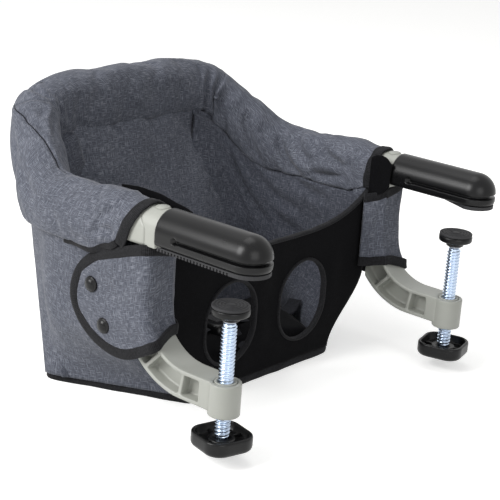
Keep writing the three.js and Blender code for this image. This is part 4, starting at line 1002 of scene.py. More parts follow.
@dataclass(frozen=True)
class TubeRail:
    """The line of the bent tube, from the right arm round the back to the left arm."""

    arm_x: float = 203.0
    low: float = 19.0
    rise: float = 75.0
    back_y: float = 289.0
    start_y: float = 66.0
    shares: tuple = ((1, 0.305, 0), (1, 0.44, -0.04), (0.995, 0.585, -0.06), (0.95, 0.7, 0.06),
                     (0.872, 0.8, 0.32), (0.795, 0.89, 0.58), (0.73, 0.95, 0.77), (0.63, 0.985, 0.89),
                     (0.49, 0.998, 0.965), (0.3, 1, 1), (0, 1, 1))

    def line(self) -> Array:
        """Returns the tube's middle as evenly spaced points."""
        half = [(-self.arm_x, self.start_y, self.low)]
        half += [(-self.arm_x * a, self.back_y * b, self.low + self.rise * c) for a, b, c in self.shares]
        stops = np.array(half + [(-x, y, z) for x, y, z in half[-2::-1]], float)
        stops = np.concatenate([[2 * stops[0] - stops[1]], stops, [2 * stops[-1] - stops[-2]]])
        pieces = []
        t = np.linspace(0, 1, 80, endpoint=False)[:, None]
        for p0, p1, p2, p3 in zip(stops, stops[1:], stops[2:], stops[3:]):
            d0, d1, d2 = (np.linalg.norm(b - a) ** 0.5 for a, b in ((p0, p1), (p1, p2), (p2, p3)))
            u = ((p1 - p0) / d0 - (p2 - p0) / (d0 + d1) + (p2 - p1) / d1) * d1
            v = ((p2 - p1) / d1 - (p3 - p1) / (d1 + d2) + (p3 - p2) / d2) * d1
            pieces.append(p1 + u * t + (3 * (p2 - p1) - 2 * u - v) * t**2 + (2 * (p1 - p2) + u + v) * t**3)
        return even(np.concatenate([*pieces, stops[-2][None]]), 2001)

    def at(self, share: Array) -> tuple[Array, Array]:
        """Finds places along the line.

        Args:
            share: Shares of the line's length.

        Returns:
            The points and unit tangents.
        """
        line = self.line()
        run = headings(line)
        where = np.asarray(share, float) * (len(line) - 1)
        k = np.arange(len(line))
        spot, way = (points_of(*(np.interp(where, k, column) for column in part.T)) for part in (line, run))
        return spot, unit(way)


@dataclass(frozen=True)
class Fold:
    """A crease in cloth: where it starts and ends, and how wide and deep it is.

    Places are distances in millimetres: the first along the cover's top from the middle of the back,
    less than 0 towards the right, and the second across it, more than 0 towards the child.
    """

    start: tuple[float, float]
    end: tuple[float, float]
    width: float
    depth: float

    def at(self, a: Array, b: Array) -> Array:
        """How far the crease pushes each place outwards.

        Args:
            a: The places' first coordinate.
            b: Their second.

        Returns:
            The push, in millimetres.
        """
        (a0, b0), (a1, b1) = self.start, self.end
        reach = hypot(a1 - a0, b1 - b0)
        way = ((a1 - a0) / reach, (b1 - b0) / reach)
        share = ((a - a0) * way[0] + (b - b0) * way[1]) / reach
        off = (b - b0) * way[0] - (a - a0) * way[1]
        bend = self.width * 0.8 * np.sin(pi * np.clip(share, 0, 1))
        off -= bend
        ends = smooth(share, -0.12, 0.25) * (1 - smooth(share, 0.7, 1.12))
        valley = np.exp(-((off / self.width) ** 2))
        ridge = np.exp(-(((np.abs(off) - 2.1 * self.width) / (1.1 * self.width)) ** 2))
        return self.depth * ends * (0.5 * ridge - valley)


@dataclass(frozen=True)
class Seam:
    """A seam that sinks into the cloth, with the sewn edge standing proud beside it.

    Its places are distances on the cover, as a fold's are.
    """

    name: str
    places: tuple[tuple[float, float], ...]
    depth: float

    def line(self, count: int) -> Array:
        """Returns evenly spaced places along the seam."""
        return even(spline(self.places, np.linspace(0, 1, 80)), count)

    def at(self, a: Array, b: Array) -> Array:
        """How far the seam pushes each place outwards.

        Args:
            a: The places' first coordinate.
            b: Their second.

        Returns:
            The push, in millimetres.
        """
        path = self.line(60)
        run = headings(path)
        gap = points_of(a, b)[..., None, :] - path
        nearest = np.linalg.norm(gap, axis=-1).argmin(-1)
        gap = np.take_along_axis(gap, nearest[..., None, None], axis=-2)[..., 0, :]
        off = gap[..., 1] * run[nearest][..., 0] - gap[..., 0] * run[nearest][..., 1]
        past = np.abs(gap[..., 0] * run[nearest][..., 0] + gap[..., 1] * run[nearest][..., 1])
        hold = np.exp(-((past / 6) ** 2))
        edge = 0.9 * np.exp(-(((np.abs(off) - 4.2) / 2.6) ** 2))
        return self.depth * hold * (edge - 1.5 * np.exp(-((off / 1.9) ** 2)))


# The cover's creases from sitting and folding: where each starts and ends, its width and its depth
COVER_FOLDS = [
    (-412, -22, -372, -48, 5.0, 2.6), (-402, -52, -366, -60, 4.5, 2.4), (-408, 8, -384, 26, 4.5, 2.0),
    (-352, -18, -300, -34, 9.0, 1.8), (-286, -52, -246, -30, 8.0, 2.6), (-232, -60, -196, -44, 7.5, 2.2),
    (-180, -20, -216, 2, 3.5, 3.0), (-140, -12, -160, 16, 4.0, 3.0), (-172, 16, -234, 4, 4.0, -2.0),
    (-152, 34, -134, 78, 6.0, 3.0), (-98, 34, -92, 84, 7.0, 1.8), (-60, 10, -52, 60, 8.0, 1.6),
    (-14, 40, -22, 88, 8.0, 1.5), (36, 22, 30, 70, 8.5, 1.6), (78, 30, 84, 84, 7.0, 1.9),
    (142, 22, 134, 84, 6.0, 3.4), (166, 14, 170, 66, 6.0, 3.0), (190, 22, 204, 84, 7.0, 4.0),
    (226, 24, 262, 78, 7.0, 4.8), (274, 22, 322, 70, 6.0, 5.4), (304, 16, 338, 50, 5.5, 3.4),
    (336, 60, 388, 54, 5.5, 5.0), (350, 30, 394, 44, 5.0, 4.6), (396, 18, 402, 56, 4.0, 2.4),
]


@dataclass(frozen=True)
class TubeCover:
    """The padded collar and cuffs: one channel of cloth over the tube, open below."""

    rail: TubeRail = TubeRail()
    cuff_radius: float = 24.0
    collar_radius: float = 25.5
    padding: float = 3.2
    cuff_hem: float = -23.0
    mouth_hem: float = -6.0
    cuff_inner_hem: float = -16.0
    collar_hem: float = 0.0
    collar_inner_hem: float = 54.0
    collar_tuck: float = 14.0
    split_y: float = 62.5
    mouth_top_y: float = 27.0
    mouth_foot_y: float = 48.0
    tape: float = 11.0
    binding_out: float = 1.9
    binding_lift: float = 0.6
    mouth_radius: float = 24.5
    mouth_wall: float = 1.9
    spring: float = 17.0
    seam_share: float = 0.3
    swell: float = 4.5
    rows: int = 100
    mouth_rows: int = 7
    columns: int = 60

    def sizes(self, point: Array) -> dict[str, float]:
        """The channel's sizes at a point of the tube's line.

        Args:
            point: The point.

        Returns:
            Its radius, how far its outer and inner skirts drop, its tuck, swell and wall.
        """
        lift = float(smooth((point[2] - self.rail.low) / self.rail.rise, 0, 1))
        mouth = 1 - float(smooth(point[1], self.split_y, self.split_y * 1.6))
        hem = lerp(lerp(self.cuff_hem, self.mouth_hem * 2, mouth), self.collar_hem, lift)
        inner = lerp(self.cuff_inner_hem, self.collar_inner_hem, lift)
        middle = float(smooth(1 - abs(point[0]) / self.rail.arm_x, 0.05, 0.35))
        return {
            "radius": lerp(self.cuff_radius, self.collar_radius, lift),
            "outer": point[2] - hem,
            "inner": point[2] - inner,
            "tuck": self.collar_tuck * middle,
            "swell": self.swell * (1 - 0.8 * mouth) * (1 - 0.5 * middle),
            "wall": lerp(self.padding, self.mouth_wall, mouth),
        }

    def section(self, size: dict[str, float]) -> Array:
        """The channel's section, from the turn of its outer hem over the top to the inner one.

        Args:
            size: The sizes there.

        Returns:
            Steps outwards and upwards from the tube, with the crest halfway down the list.
        """
        radius, roll = size["radius"], size["wall"] * 1.05
        down = np.linspace(1, 0, 16)[:-1]
        bag = size["swell"] * np.sin(pi * down) ** 0.8
        edge = radius - size["tuck"]
        outer = points_of(radius - size["tuck"] * down**1.9 + bag, -size["outer"] * down)
        turn = np.linspace(pi, 1.9 * pi, 6)
        hem = points_of(edge - roll + roll * np.cos(turn), roll * np.sin(turn) + roll - size["outer"])
        back = [[edge - 2 * roll, roll + 3 - size["outer"]]]
        arch = np.linspace(0, pi / 2, 12)[:-1]
        rise = points_of(radius * np.cos(arch), radius * np.sin(arch))
        first = even(np.concatenate([back, hem, outer[1:], rise, [[0, radius]]]), self.columns // 2 + 1)
        level = np.linspace(0, 1, 12)[1:]
        fall = points_of(-radius * np.sin(arch), radius * np.cos(arch))
        inner = points_of(-radius - 0.6 * size["swell"] * np.sin(pi * level), -size["inner"] * level)
        turn = np.linspace(1.1 * pi, 2 * pi, 6)
        hem = points_of(roll - radius + roll * np.cos(turn), roll * np.sin(turn) + roll - size["inner"])
        back = [[2 * roll - radius, roll + 3 - size["inner"]]]
        second = even(np.concatenate([fall, inner[:-1], hem, back]), self.columns - self.columns // 2 + 1)
        return np.concatenate([first, second[1:]])

    def form(self) -> tuple[Array, Array]:
        """Returns the grid of the cover's outer face and the wall at each row, before any fold."""
        spots, runs = self.rail.at(np.linspace(0, 0.5, self.rows + 1))
        up = np.array([0, 0, 1.0])
        rows, walls = [], []
        start = self.sizes(spots[0])
        for k in np.linspace(1, 0, self.mouth_rows + 1)[:-1].tolist():
            size = dict(start)
            size["radius"] = lerp(start["radius"], self.mouth_radius, k)
            centre = lerp(self.rail.low, self.spring, k)
            size["outer"] = centre - lerp(self.rail.low - start["outer"], self.mouth_hem, k)
            size["inner"] = centre - lerp(self.rail.low - start["inner"], self.mouth_hem, k)
            size["swell"] = lerp(start["swell"], 0.0, k)
            size["wall"] = self.mouth_wall
            flat = self.section(size)
            z = centre + flat[:, 1]
            y = lerp(self.rail.start_y, self.mouth_y(flat[:, 0], z) + self.tape - 2, k)
            rows.append(points_of(-self.rail.arm_x - flat[:, 0], y, z))
            walls.append(self.mouth_wall)
        for spot, run in zip(spots, runs):
            size = self.sizes(spot)
            out = -unit(np.cross(np.array([run[0], run[1], 0]), up))
            above = unit(np.cross(run, out))
            above = above if above[2] > 0 else -above
            flat = self.section(size)
            lifted = np.where(flat[:, 1:] > 0, above, up)
            rows.append(spot + out * flat[:, :1] + lifted * flat[:, 1:])
            walls.append(size["wall"])
        half = np.array(rows)
        return np.concatenate([half, half[-2::-1] * [-1.0, 1, 1]]), np.array(walls + walls[-2::-1])

    def mouth_y(self, outwards: Array, z: Array) -> Array:
        """The mouth's edge: slanted outside, nearly upright towards the child.

        Args:
            outwards: How far each place lies towards the outside.
            z: Its height.

        Returns:
            The edge's Y.
        """
        low = (self.spring + self.mouth_radius - z) / (self.spring + self.mouth_radius - self.mouth_hem)
        foot = lerp(self.mouth_foot_y, self.mouth_top_y + 3, smooth(-outwards, -8, 16))
        return lerp(self.mouth_top_y, foot, np.clip(low, 0, 1))

    def seams(self) -> tuple[Seam, ...]:
        """Returns the seams that turn the corners, as places of the same kind."""
        return (
            Seam("right_corner_seam", ((-130, -2), (-148, -13), (-166, -32), (-198, -20), (-228, -6),
                                       (-262, 5), (-298, 6)), 1.0),
            Seam("left_corner_seam", ((128, 4), (150, -2), (176, -6), (206, -9), (240, -16)), 0.6),
            Seam("right_collar_seam", ((-116, 12), (-122, 40), (-124, 66), (-120, 86)), 0.5),
            Seam("left_collar_seam", ((116, 12), (120, 40), (121, 66), (118, 86)), 0.7),
        )

    def places(self, grid: Array, crest: int) -> tuple[Array, Array]:
        """Returns where each point of a grid lies, in the distances that a fold uses.

        Args:
            grid: The grid of the cover's outer face.
            crest: The column that runs along its top.

        Returns:
            The first and the second distance of each point.
        """
        top = along(grid, 0)[:, crest]
        a = np.broadcast_to((top - top[len(top) // 2])[:, None], grid.shape[:2])
        b = along(grid, 1)
        return a, b - b[:, crest : crest + 1]

    def cloth(self) -> tuple[Array, Array]:
        """Returns the wrinkled grid of the cover's outer face and the wall at each row."""
        grid, walls = self.form()
        crest = self.columns // 2
        a, b = self.places(grid, crest)
        reach = np.maximum(np.abs(b).max(1, keepdims=True), 1)
        edge = np.clip(1 - (np.abs(b) / reach) ** 6, 0, 1)
        half = along(grid, 0)[-1, crest] / 2
        mouth = smooth(np.abs(a), half - 4, half - 34)
        push = ripple(a, b, 60, 3) * 0.9 + ripple(a, b * 0.7, 24, 8) * 0.3 + 1.2 * mouth
        for a0, b0, a1, b1, width, depth in COVER_FOLDS:
            push = push + Fold((a0, b0), (a1, b1), width, depth).at(a, b)
        grid = grid + normals(grid) * (push * edge * mouth)[..., None]
        rows, columns = grid.shape[:2]
        faces = wall_faces(rows, columns, False)[0]
        sheet = mesh_object("cover_cloth", grid.reshape(-1, 3), faces)
        pins = np.maximum(1 - edge, 1 - mouth)
        pins[:, crest - 1 : crest + 2] = np.maximum(pins[:, crest - 1 : crest + 2], 0.1)
        pins[pins < 0.05] = 0
        simulate(sheet, 0.5, 14, 2.4, pins.ravel(), growth=0.012)
        moved = points_in(sheet).reshape(rows, columns, 3) / MM
        remove(sheet)
        return moved, walls

    def build(self) -> None:
        """Builds the two cuffs, the collar, their tapes and the dark cord of painted shade in the right
        corner's seam.
        """
        grid, walls = self.cloth()
        grid = finer(grid, 2)
        a, b = self.places(grid, 2 * (self.columns // 2))
        for seam_line in self.seams():
            grid = grid + normals(grid) * seam_line.at(a, b)[..., None]
        wall = np.interp(np.linspace(0, 1, len(grid)), np.linspace(0, 1, len(walls)), walls)[:, None, None]
        seam = 2 * (self.mouth_rows + round(self.seam_share * 2 * self.rows))
        inner = grid - normals(grid) * wall
        uv = cloth_uv(grid)
        last = len(grid) - 1
        spans = {
            "right_cuff": (0, seam),
            "back_collar": (seam, last - seam),
            "left_cuff": (last - seam, last),
        }
        for name, (first, end) in spans.items():
            rows = slice(first, end + 1)
            piece = sheet_solid(f"{name}_cloth", grid[rows], inner[rows], uv[rows])
            if name == "back_collar":
                place(piece, SLATE_LINEN, "seat", name)
            else:
                side = name.split("_")[0]
                place(piece, SLATE_LINEN, self.mouth_bend(side), name, f"{side}_cuff_mouth")
        self.build_thread(self.seams()[0], grid, a, b)
        self.build_tapes(grid)

    def build_thread(self, seam: Seam, grid: Array, a: Array, b: Array) -> None:
        """Lays a dark cord along a seam, as painted shade in the seam's gap.

        Args:
            seam: The seam.
            grid: The cover's outer face.
            a: The first distance of each of its points.
            b: The second.
        """
        face = grid + 0.1 * normals(grid)
        spots = seam.line(90)
        rows = np.interp(spots[:, 0], a[:, 0], np.arange(len(a)))
        line = []
        for row, across in zip(rows, spots[:, 1]):
            k = min(int(row), len(a) - 2)
            ends = [[np.interp(across, b[n], face[n, :, c]) for c in range(3)] for n in (k, k + 1)]
            line.append(lerp(np.array(ends[0]), np.array(ends[1]), row - k))
        cord = cord_mesh(seam.name, even(np.array(line), 90), 0.5 + 0.3 * seam.depth)
        place(cord, SEAM_SHADE_CORD, "seat")

    def mouth_bend(self, side: str) -> tuple:
        """Returns the bodies that a cuff's mouth joins, and where the bend starts and ends."""
        x = self.rail.arm_x * (-1 if side == "right" else 1)
        return "seat", f"{side}_arm", (x, self.rail.start_y, 20.0), (x, 28.0, 20.0)

    def build_tapes(self, grid: Array) -> None:
        """Sews the slanted tapes round the cuffs' mouths and the black binding along the hems.

        Args:
            grid: The cover's outer face.
        """
        radius = self.mouth_radius
        turn = np.linspace(0, pi, 25)
        drop = np.linspace(0, self.spring - self.mouth_hem, 10)[1:]
        arch = points_of(radius * np.cos(turn), self.spring + radius * np.sin(turn))
        legs = [points_of(way * radius, self.spring - drop) for way in (1, -1)]
        flat = even(np.concatenate([legs[0][::-1], arch, legs[1]]), 64)
        for side in Side:
            y = self.mouth_y(side.value * flat[:, 0], flat[:, 1]) + self.tape / 2 + 0.5
            wave = ripple(flat[:, 0], flat[:, 1], 22, 31 + side.value) * (1.2 if side is Side.LEFT else 0.5)
            line = points_of(side.value * self.rail.arm_x + flat[:, 0], y + wave, flat[:, 1])
            facing = points_of(flat[:, 0], 0, np.maximum(flat[:, 1] - self.spring, 0))
            tape = band(f"{side.label}_mouth_tape", line, facing, self.tape + 3, 3.4, crumple=1.0, seed=5)
            place(tape, BINDING_TAPE, self.mouth_bend(side.label), f"{side.label}_cuff_tape")
            rows = grid if side is Side.RIGHT else grid[::-1]
            low = int(rows[60, :40, 2].argmin())
            near = (rows[:, low, 1] < 138) & (rows[:, low, 1] > self.mouth_foot_y + 2)
            hem = rows[: len(rows) // 2][near[: len(rows) // 2], low]
            hem = even(hem, 60) + np.array([side.value * self.binding_out, 0, self.binding_lift])
            binding = band(f"{side.label}_hem_binding", hem, (side.value, 0, -0.55), 7.5, 2.6,
                           crumple=0.8, seed=11)
            place(binding, BINDING_TAPE, self.mouth_bend(side.label))


# The fabric bucket


FRONT_HALF, BACK_HALF, TUCK_X, TOP_X = 124.0, 202.0, 184.0, 217.0
FRONT_Y, BACK_FOOT_Y, SPLIT_Y, BACK_TOP_Y = 34.5, 197.0, 62.5, 266.0
HEM_Z, HEM_BASE = -200.7, -209.0
FOOT_PLAN = [
    (lerp(FRONT_HALF, BACK_HALF, a), lerp(FRONT_Y, BACK_FOOT_Y, b))
    for a, b in ((0, 0), (0.1, 0.09), (0.18, 0.165), (0.26, 0.24), (0.34, 0.315), (0.5, 0.465),
                 (0.68, 0.635), (0.85, 0.79), (0.96, 0.9), (0.97, 0.975))
]
RIM_PLAN = [(TUCK_X, FRONT_Y), (TUCK_X, FRONT_Y * 1.4), (TUCK_X * 1.01, SPLIT_Y * 0.95)]
RIM_PLAN += [
    (x, lerp(SPLIT_Y, BACK_TOP_Y, b))
    for x, b in ((lerp(TUCK_X, TOP_X, 0.88), 0.012), (TOP_X, 0.1), (TOP_X * 1.005, 0.25),
                 (TOP_X * 1.005, 0.43), (TOP_X * 0.985, 0.62), (TOP_X * 0.895, 0.82), (TOP_X * 0.78, 1))
]


def skin_point(share: Array, z: Array) -> Array:
    """Points of the bucket's outer skin on the right side.

    Args:
        share: How far round from the front corner to the back one, from 0 to 1.
        z: Their heights.

    Returns:
        The points.
    """
    share, z = np.broadcast_arrays(np.asarray(share, float), np.asarray(z, float))
    foot = spline(FOOT_PLAN, share.ravel()).reshape(*share.shape, 2)
    rim = spline(RIM_PLAN, share.ravel()).reshape(*share.shape, 2)
    rise = (z - HEM_Z) / -HEM_Z
    swell = np.where(rim[..., 0] < foot[..., 0], rise, smooth(rise, 0, 0.45))
    x = -lerp(foot[..., 0], rim[..., 0], swell)
    return points_of(x, lerp(foot[..., 1], rim[..., 1], rise), z)


def skin_inside(share: Array, z: Array, margin: float) -> Array:
    """The same skin, drawn in towards the child.

    Args:
        share: Shares of the side.
        z: The heights.
        margin: How far it is drawn in.

    Returns:
        The points.
    """
    share = np.asarray(share, float)
    run = unit(skin_point(np.minimum(share + 0.01, 1), z) - skin_point(np.maximum(share - 0.01, 0), z))
    step = points_of(run[..., 1], -run[..., 0], 0)
    return skin_point(share, z) + step * margin


def side_top(share: Array) -> Array:
    """Returns the height of the side fabric's upper edge, which climbs under the collar."""
    return lerp(-8.0, 14.0, smooth(share, 0.6, 0.92))


def back_face(x: Array, z: Array) -> Array:
    """The back panel's outer face.

    Args:
        x: The places' X.
        z: Their heights.

    Returns:
        The face's Y.
    """
    corner = skin_point(1.0, np.minimum(z, 0))
    half = np.abs(corner[..., 0]) - 3.3
    bow = np.cos(pi / 2 * np.minimum(np.abs(x) / half, 1)) * 4.5
    return corner[..., 1] + np.maximum(z, 0) * 0.2 + bow


def foot_ring(margin: float, count: int = 220) -> Array:
    """The bucket's foot in plan as an evenly spaced closed ring, drawn in by a margin.

    Args:
        margin: How far it is drawn in.
        count: How many points it has.

    Returns:
        Rows of x and y, anticlockwise as seen from above.
    """
    slope = (BACK_HALF - FRONT_HALF) / (BACK_FOOT_Y - FRONT_Y)
    half = []
    for share in (0, 0.2, 0.4, 0.6, 0.8, 0.93, 1):
        y = lerp(FRONT_Y + margin, BACK_FOOT_Y - margin, share)
        x = FRONT_HALF + (y - FRONT_Y) * slope - margin * hypot(1, slope)
        half.append((x * (0.975 if share == 1 else 1), y))
    ring = half + [(-x, y) for x, y in half[::-1]]
    ring = even(np.array([*ring, ring[0]]), count + 1)[:-1]
    for _ in range(3):
        ring = (ring + 0.5 * np.roll(ring, 1, axis=0) + 0.5 * np.roll(ring, -1, axis=0)) / 2
    return ring


def sew(name: str, outer: Array, inner: Array, finish: Finish, body: str | tuple,
        node: str) -> None:
    """Args:
        name: The piece's name.
        outer: The grid of its outer face.
        inner: The grid of its inner face.
        finish: Its finish.
        body: What it rides on, as in place().
        node: The CAD node that it stands for.
    """
    piece = sheet_solid(name, outer, inner)
    place(piece, finish, body, node)


@dataclass(frozen=True)
class Bucket:
    """The fabric bucket under the collar, with its leg openings, hem, board and lining."""

    panel: float = 3.0
    lining: float = 4.0
    lining_y: float = 74.0
    lining_foot: float = -200.1
    lining_inset: float = 7.6
    lining_gap: float = 8.0
    lining_end: tuple = ((-200, 66), (-120, 62), (-60, 66), (0, 88), (60, 104))  # height, x
    foot_inset: float = 5.0
    lip: float = 4.8
    sole_z: tuple[float, float] = (-208.0, -206.0)
    board_z: tuple[float, float] = (-205.7, -200.7)
    leg_x: float = 64.0
    leg_z: float = -126.0
    leg_half: tuple[float, float] = (43.0, 50.0)
    cover: TubeCover = TubeCover()
    # Places on a lining: along its upper edge from the front, and down from there
    folds: tuple[Fold, ...] = (
        Fold((60, 30), (132, 6), 7.0, 3.0),
        Fold((120, 60), (190, 14), 8.0, 4.0),
        Fold((176, 96), (236, 30), 9.0, 4.6),
        Fold((90, 110), (170, 66), 10.0, 3.4),
    )

    def build(self) -> None:
        """Builds every piece of the bucket."""
        for side in Side:
            self.build_side(side)
            self.build_lining(side)
        self.build_back()
        self.build_front()
        self.build_foot()

    def build_side(self, side: Side) -> None:
        """Builds one side panel, whose cloth hangs in soft upright folds.

        Args:
            side: The side.
        """
        share = np.linspace(0.028, 0.985, 64)[:, None]
        v = np.linspace(0, 1, 52)[None]
        z = lerp(HEM_Z, side_top(share), v)
        outer, inner = skin_point(share, z), skin_inside(share, z, self.panel)
        edge = np.sin(pi * v) ** 0.5 * np.minimum(1, np.sin(pi * (share - 0.02)) * 2.2)
        push = ripple(outer[..., 1], outer[..., 2] * 0.35, 46, 12 + side.value) * 1.1 - 0.9
        push = push + ripple(outer[..., 1], outer[..., 2], 26, 17 + side.value) * 0.35
        lift = normals(outer) * (push * edge)[..., None]
        outer, inner = outer + lift, inner + lift
        outer, inner = on_side(side, outer, inner)
        sew(f"{side.label}_side_cloth", outer, inner, SLATE_LINEN, "seat", f"{side.label}_side_panel")

    def lining_edges(self) -> tuple[Array, Array, Array]:
        """Returns stops along the right lining's upper and lower edges, and the way out at each."""
        line = self.cover.rail.line()
        shares = np.linspace(0, 1, len(line))
        third = len(line) // 3
        start = float(np.interp(self.lining_y, line[:third, 1], shares[:third]))
        keys = np.array([0, 0.2, 0.4, 0.6, 0.8, 0.96])
        rail, run = self.cover.rail.at(lerp(start, self.cover.seam_share, keys))
        out = unit(points_of(-run[:, 1], run[:, 0], 0))
        sizes = [self.cover.sizes(point) for point in rail]
        radius = np.array([size["radius"] for size in sizes])
        high = rail - out * (radius - self.lining_inset - self.lining)[:, None]
        high[:, 2] = rail[:, 2] - [size["inner"] for size in sizes] + self.lip
        high = np.concatenate([high[:1] * [1, 0, 1] + [[0, FRONT_Y + 6, 5.0]], high])
        low = skin_inside(np.array([0.05, *lerp(0.24, 0.84, keys)]), HEM_Z, self.foot_inset)
        return high, low, np.concatenate([out[:1], out])

    def lining_face(self, u: Array, v: Array) -> tuple[Array, Array]:
        """The right lining's face towards the side panel, carried round to the back panel.

        Args:
            u: Shares along it from the front.
            v: Shares up it.

        Returns:
            The grid of the face, and the way out at each of its points.
        """
        high, low, out = self.lining_edges()
        face = np.zeros((len(u), len(v), 3))
        away = np.zeros_like(face)
        for k, share in enumerate(v):
            rise = float(smooth(share, 0, 0.54))
            stops = points_of(lerp(low[:, 0], high[:, 0], rise), lerp(low[:, 1], high[:, 1], share),
                              lerp(self.lining_foot, high[:, 2], share))
            z = lerp(self.lining_foot, self.cover.collar_inner_hem + self.lip, share)
            x = float(np.interp(z, *zip(*self.lining_end)))
            end = [-x, float(back_face(x, z)) - self.panel - self.lining_gap, z]
            face[:, k] = spline([*stops, end], u)
            away[:, k] = unit(spline([*out, [0, 1, 0]], u))
        return face, away

    def build_lining(self, side: Side) -> None:
        """Builds the cloth inside one side, drawn darker as painted shade, from under the cuff down to the
        cushion.

        Args:
            side: The side.
        """
        u = np.linspace(0, 1, 64)
        v = np.concatenate([np.linspace(0, 0.9, 36), np.linspace(0.9, 1, 15)[1:]])
        face, away = self.lining_face(u, v)
        hem = 1 - self.lip / (face[:, -1:, 2] - self.lining_foot)
        flush = 6.4 * smooth(v[None], 0.5, 0.92) * (1 - smooth(v[None], hem - 0.016, hem - 0.001))
        back = face - away * flush[..., None]
        front = back - away * self.lining
        share = 1 if side is Side.LEFT else 0.5
        for fold in self.folds:
            down = along(front, 1)[:, -1:] - along(front, 1)
            front = front - away * (fold.at(along(front, 0)[:, -1:], down) * share)[..., None]
        edge = np.sin(pi * v)[None] * np.sin(pi * u)[:, None]
        push = ripple(front[..., 1], front[..., 2] * 0.4, 40, 23 + side.value) * edge
        front = front - away * push[..., None]
        outer, inner = on_side(side, front[::-1], back[::-1])
        sew(f"{side.label}_side_lining_cloth", outer, inner, SHADED_LINEN, "seat",
            f"{side.label}_side_lining")

    def build_back(self) -> None:
        """Builds the back panel."""
        v = np.linspace(0, 1, 44)[None]
        z = np.broadcast_to(lerp(HEM_Z, 14.0, v), (70, 44))
        half = np.abs(skin_point(1.0, z)[..., 0]) - self.panel - 0.3
        x = np.linspace(-1, 1, 70)[:, None] * half
        edge = np.sin(pi * v) * np.cos(pi / 2 * np.linspace(-1, 1, 70)[:, None])
        wave = (ripple(x, z * 0.5, 50, 41) - 0.8) * edge
        outer = points_of(x, back_face(x, z) + wave, z)
        inner = outer - np.array([0, self.panel, 0])
        sew("back_cloth", outer, inner, SLATE_LINEN, "seat", "back_panel")

    def front_grid(self, depth: float) -> Array:
        """The front panel's grid.

        Args:
            depth: How far it lies behind the panel's face.

        Returns:
            Rows of points.
        """
        across = np.linspace(1, -1, 90)[:, None]
        v = np.linspace(0, 1, 56)[None]
        top = -7.0 - 36.0 * (1 - across**4)
        z = lerp(HEM_Z, top, v)
        half = np.abs(skin_point(0.0, z)[..., 0]) - 0.6
        x = half * across
        edge = np.sin(pi * v) * np.cos(pi / 2 * across)
        wave = ripple(x, z, 38, 61) * 0.9 * edge
        return points_of(x, FRONT_Y + depth + wave, z)

    def build_front(self) -> None:
        """Builds the front panel, with its leg openings and their bindings."""
        outer, inner = self.front_grid(0.0), self.front_grid(self.panel)
        piece = sheet_solid("front_cloth", outer, inner)
        wide, tall = self.leg_half
        turn = np.linspace(0, 2 * pi, 72, endpoint=False)
        ring = points_of(wide * np.cos(turn), wide * np.sin(turn))
        ring[:, 1] += np.where(ring[:, 1] > 0, tall - wide, wide - tall)
        cutters = []
        for side in Side:
            outline = ring + np.array([side.value * self.leg_x, self.leg_z])
            points, faces = prism(outline, FRONT_Y - 20, FRONT_Y + 20, "Y")
            cutter = facing_out(mesh_object("cutter", points, faces))
            combine(piece, cutter, "DIFFERENCE")
            cutters.append(cutter)
            line = points_of(outline[:, 0], FRONT_Y + self.panel / 2, outline[:, 1])
            facing = points_of(-np.cos(turn), 0, -np.sin(turn))
            rim = band(f"{side.label}_leg_binding", line, facing, 7.5, 4.0,
                       closed=True, crumple=0.3, seed=9)
            place(rim, BINDING_TAPE, "seat")
        settle(piece)
        for cutter in cutters:
            remove(cutter)
        place(piece, BLACK_LINEN, "seat", "front_panel")
        rim = outer[:, -1] + np.array([0, self.panel / 2, 0])
        binding = band("front_top_binding", even(rim, 120), (0, 0, 1), 7.0, 4.2, crumple=0.4, seed=3)
        place(binding, BINDING_TAPE, "seat")

    def build_foot(self) -> None:
        """Builds the puffed hem tape, the sole and the board."""
        ring = foot_ring(1.4)
        wave = ripple(ring[:, 0], ring[:, 1], 55, 71) * 0.7
        line = points_of(ring[:, 0], ring[:, 1], (HEM_BASE + HEM_Z) / 2 + 0.2 + wave)
        out = headings(ring, closed=True)
        facing = points_of(out[:, 1], -out[:, 0], 0)
        place(band("bucket_hem", line, facing, 9.2, 5.2, closed=True, crumple=0.6, seed=4),
              BINDING_TAPE, "seat", "hem_tape")
        points, faces = prism(foot_ring(4.0, 150), *self.sole_z, "Z")
        sole = box_cloth_uv(soften(mesh_object("sole_cloth", points, faces), 0.6, 2))
        place(sole, BLACK_LINEN, "seat", "bottom_panel")
        points, faces = prism(foot_ring(9.0, 120), *self.board_z, "Z")
        board = soften(mesh_object("seat_board_plate", points, faces), 1.0)
        place(board, GREY_BOARD, "seat", "seat_board")


# The flap over each arm


FLAP_EDGE = [
    (72, -95), (60, -95), (45, -93), (25, -92), (10, -97), (3, -101), (-4, -105), (-14, -111),
    (-38, -122), (-62, -123.5), (-84, -119), (-104, -109), (-119, -93), (-123, -77), (-119, -60),
    (-108, -44), (-90, -31), (-64, -21), (-40, -12), (-24, -7), (-17, -5.5), (-10, -5.5), (-2, -7),
    (16, -11), (40, -15), (60, -17), (72, -17),
]


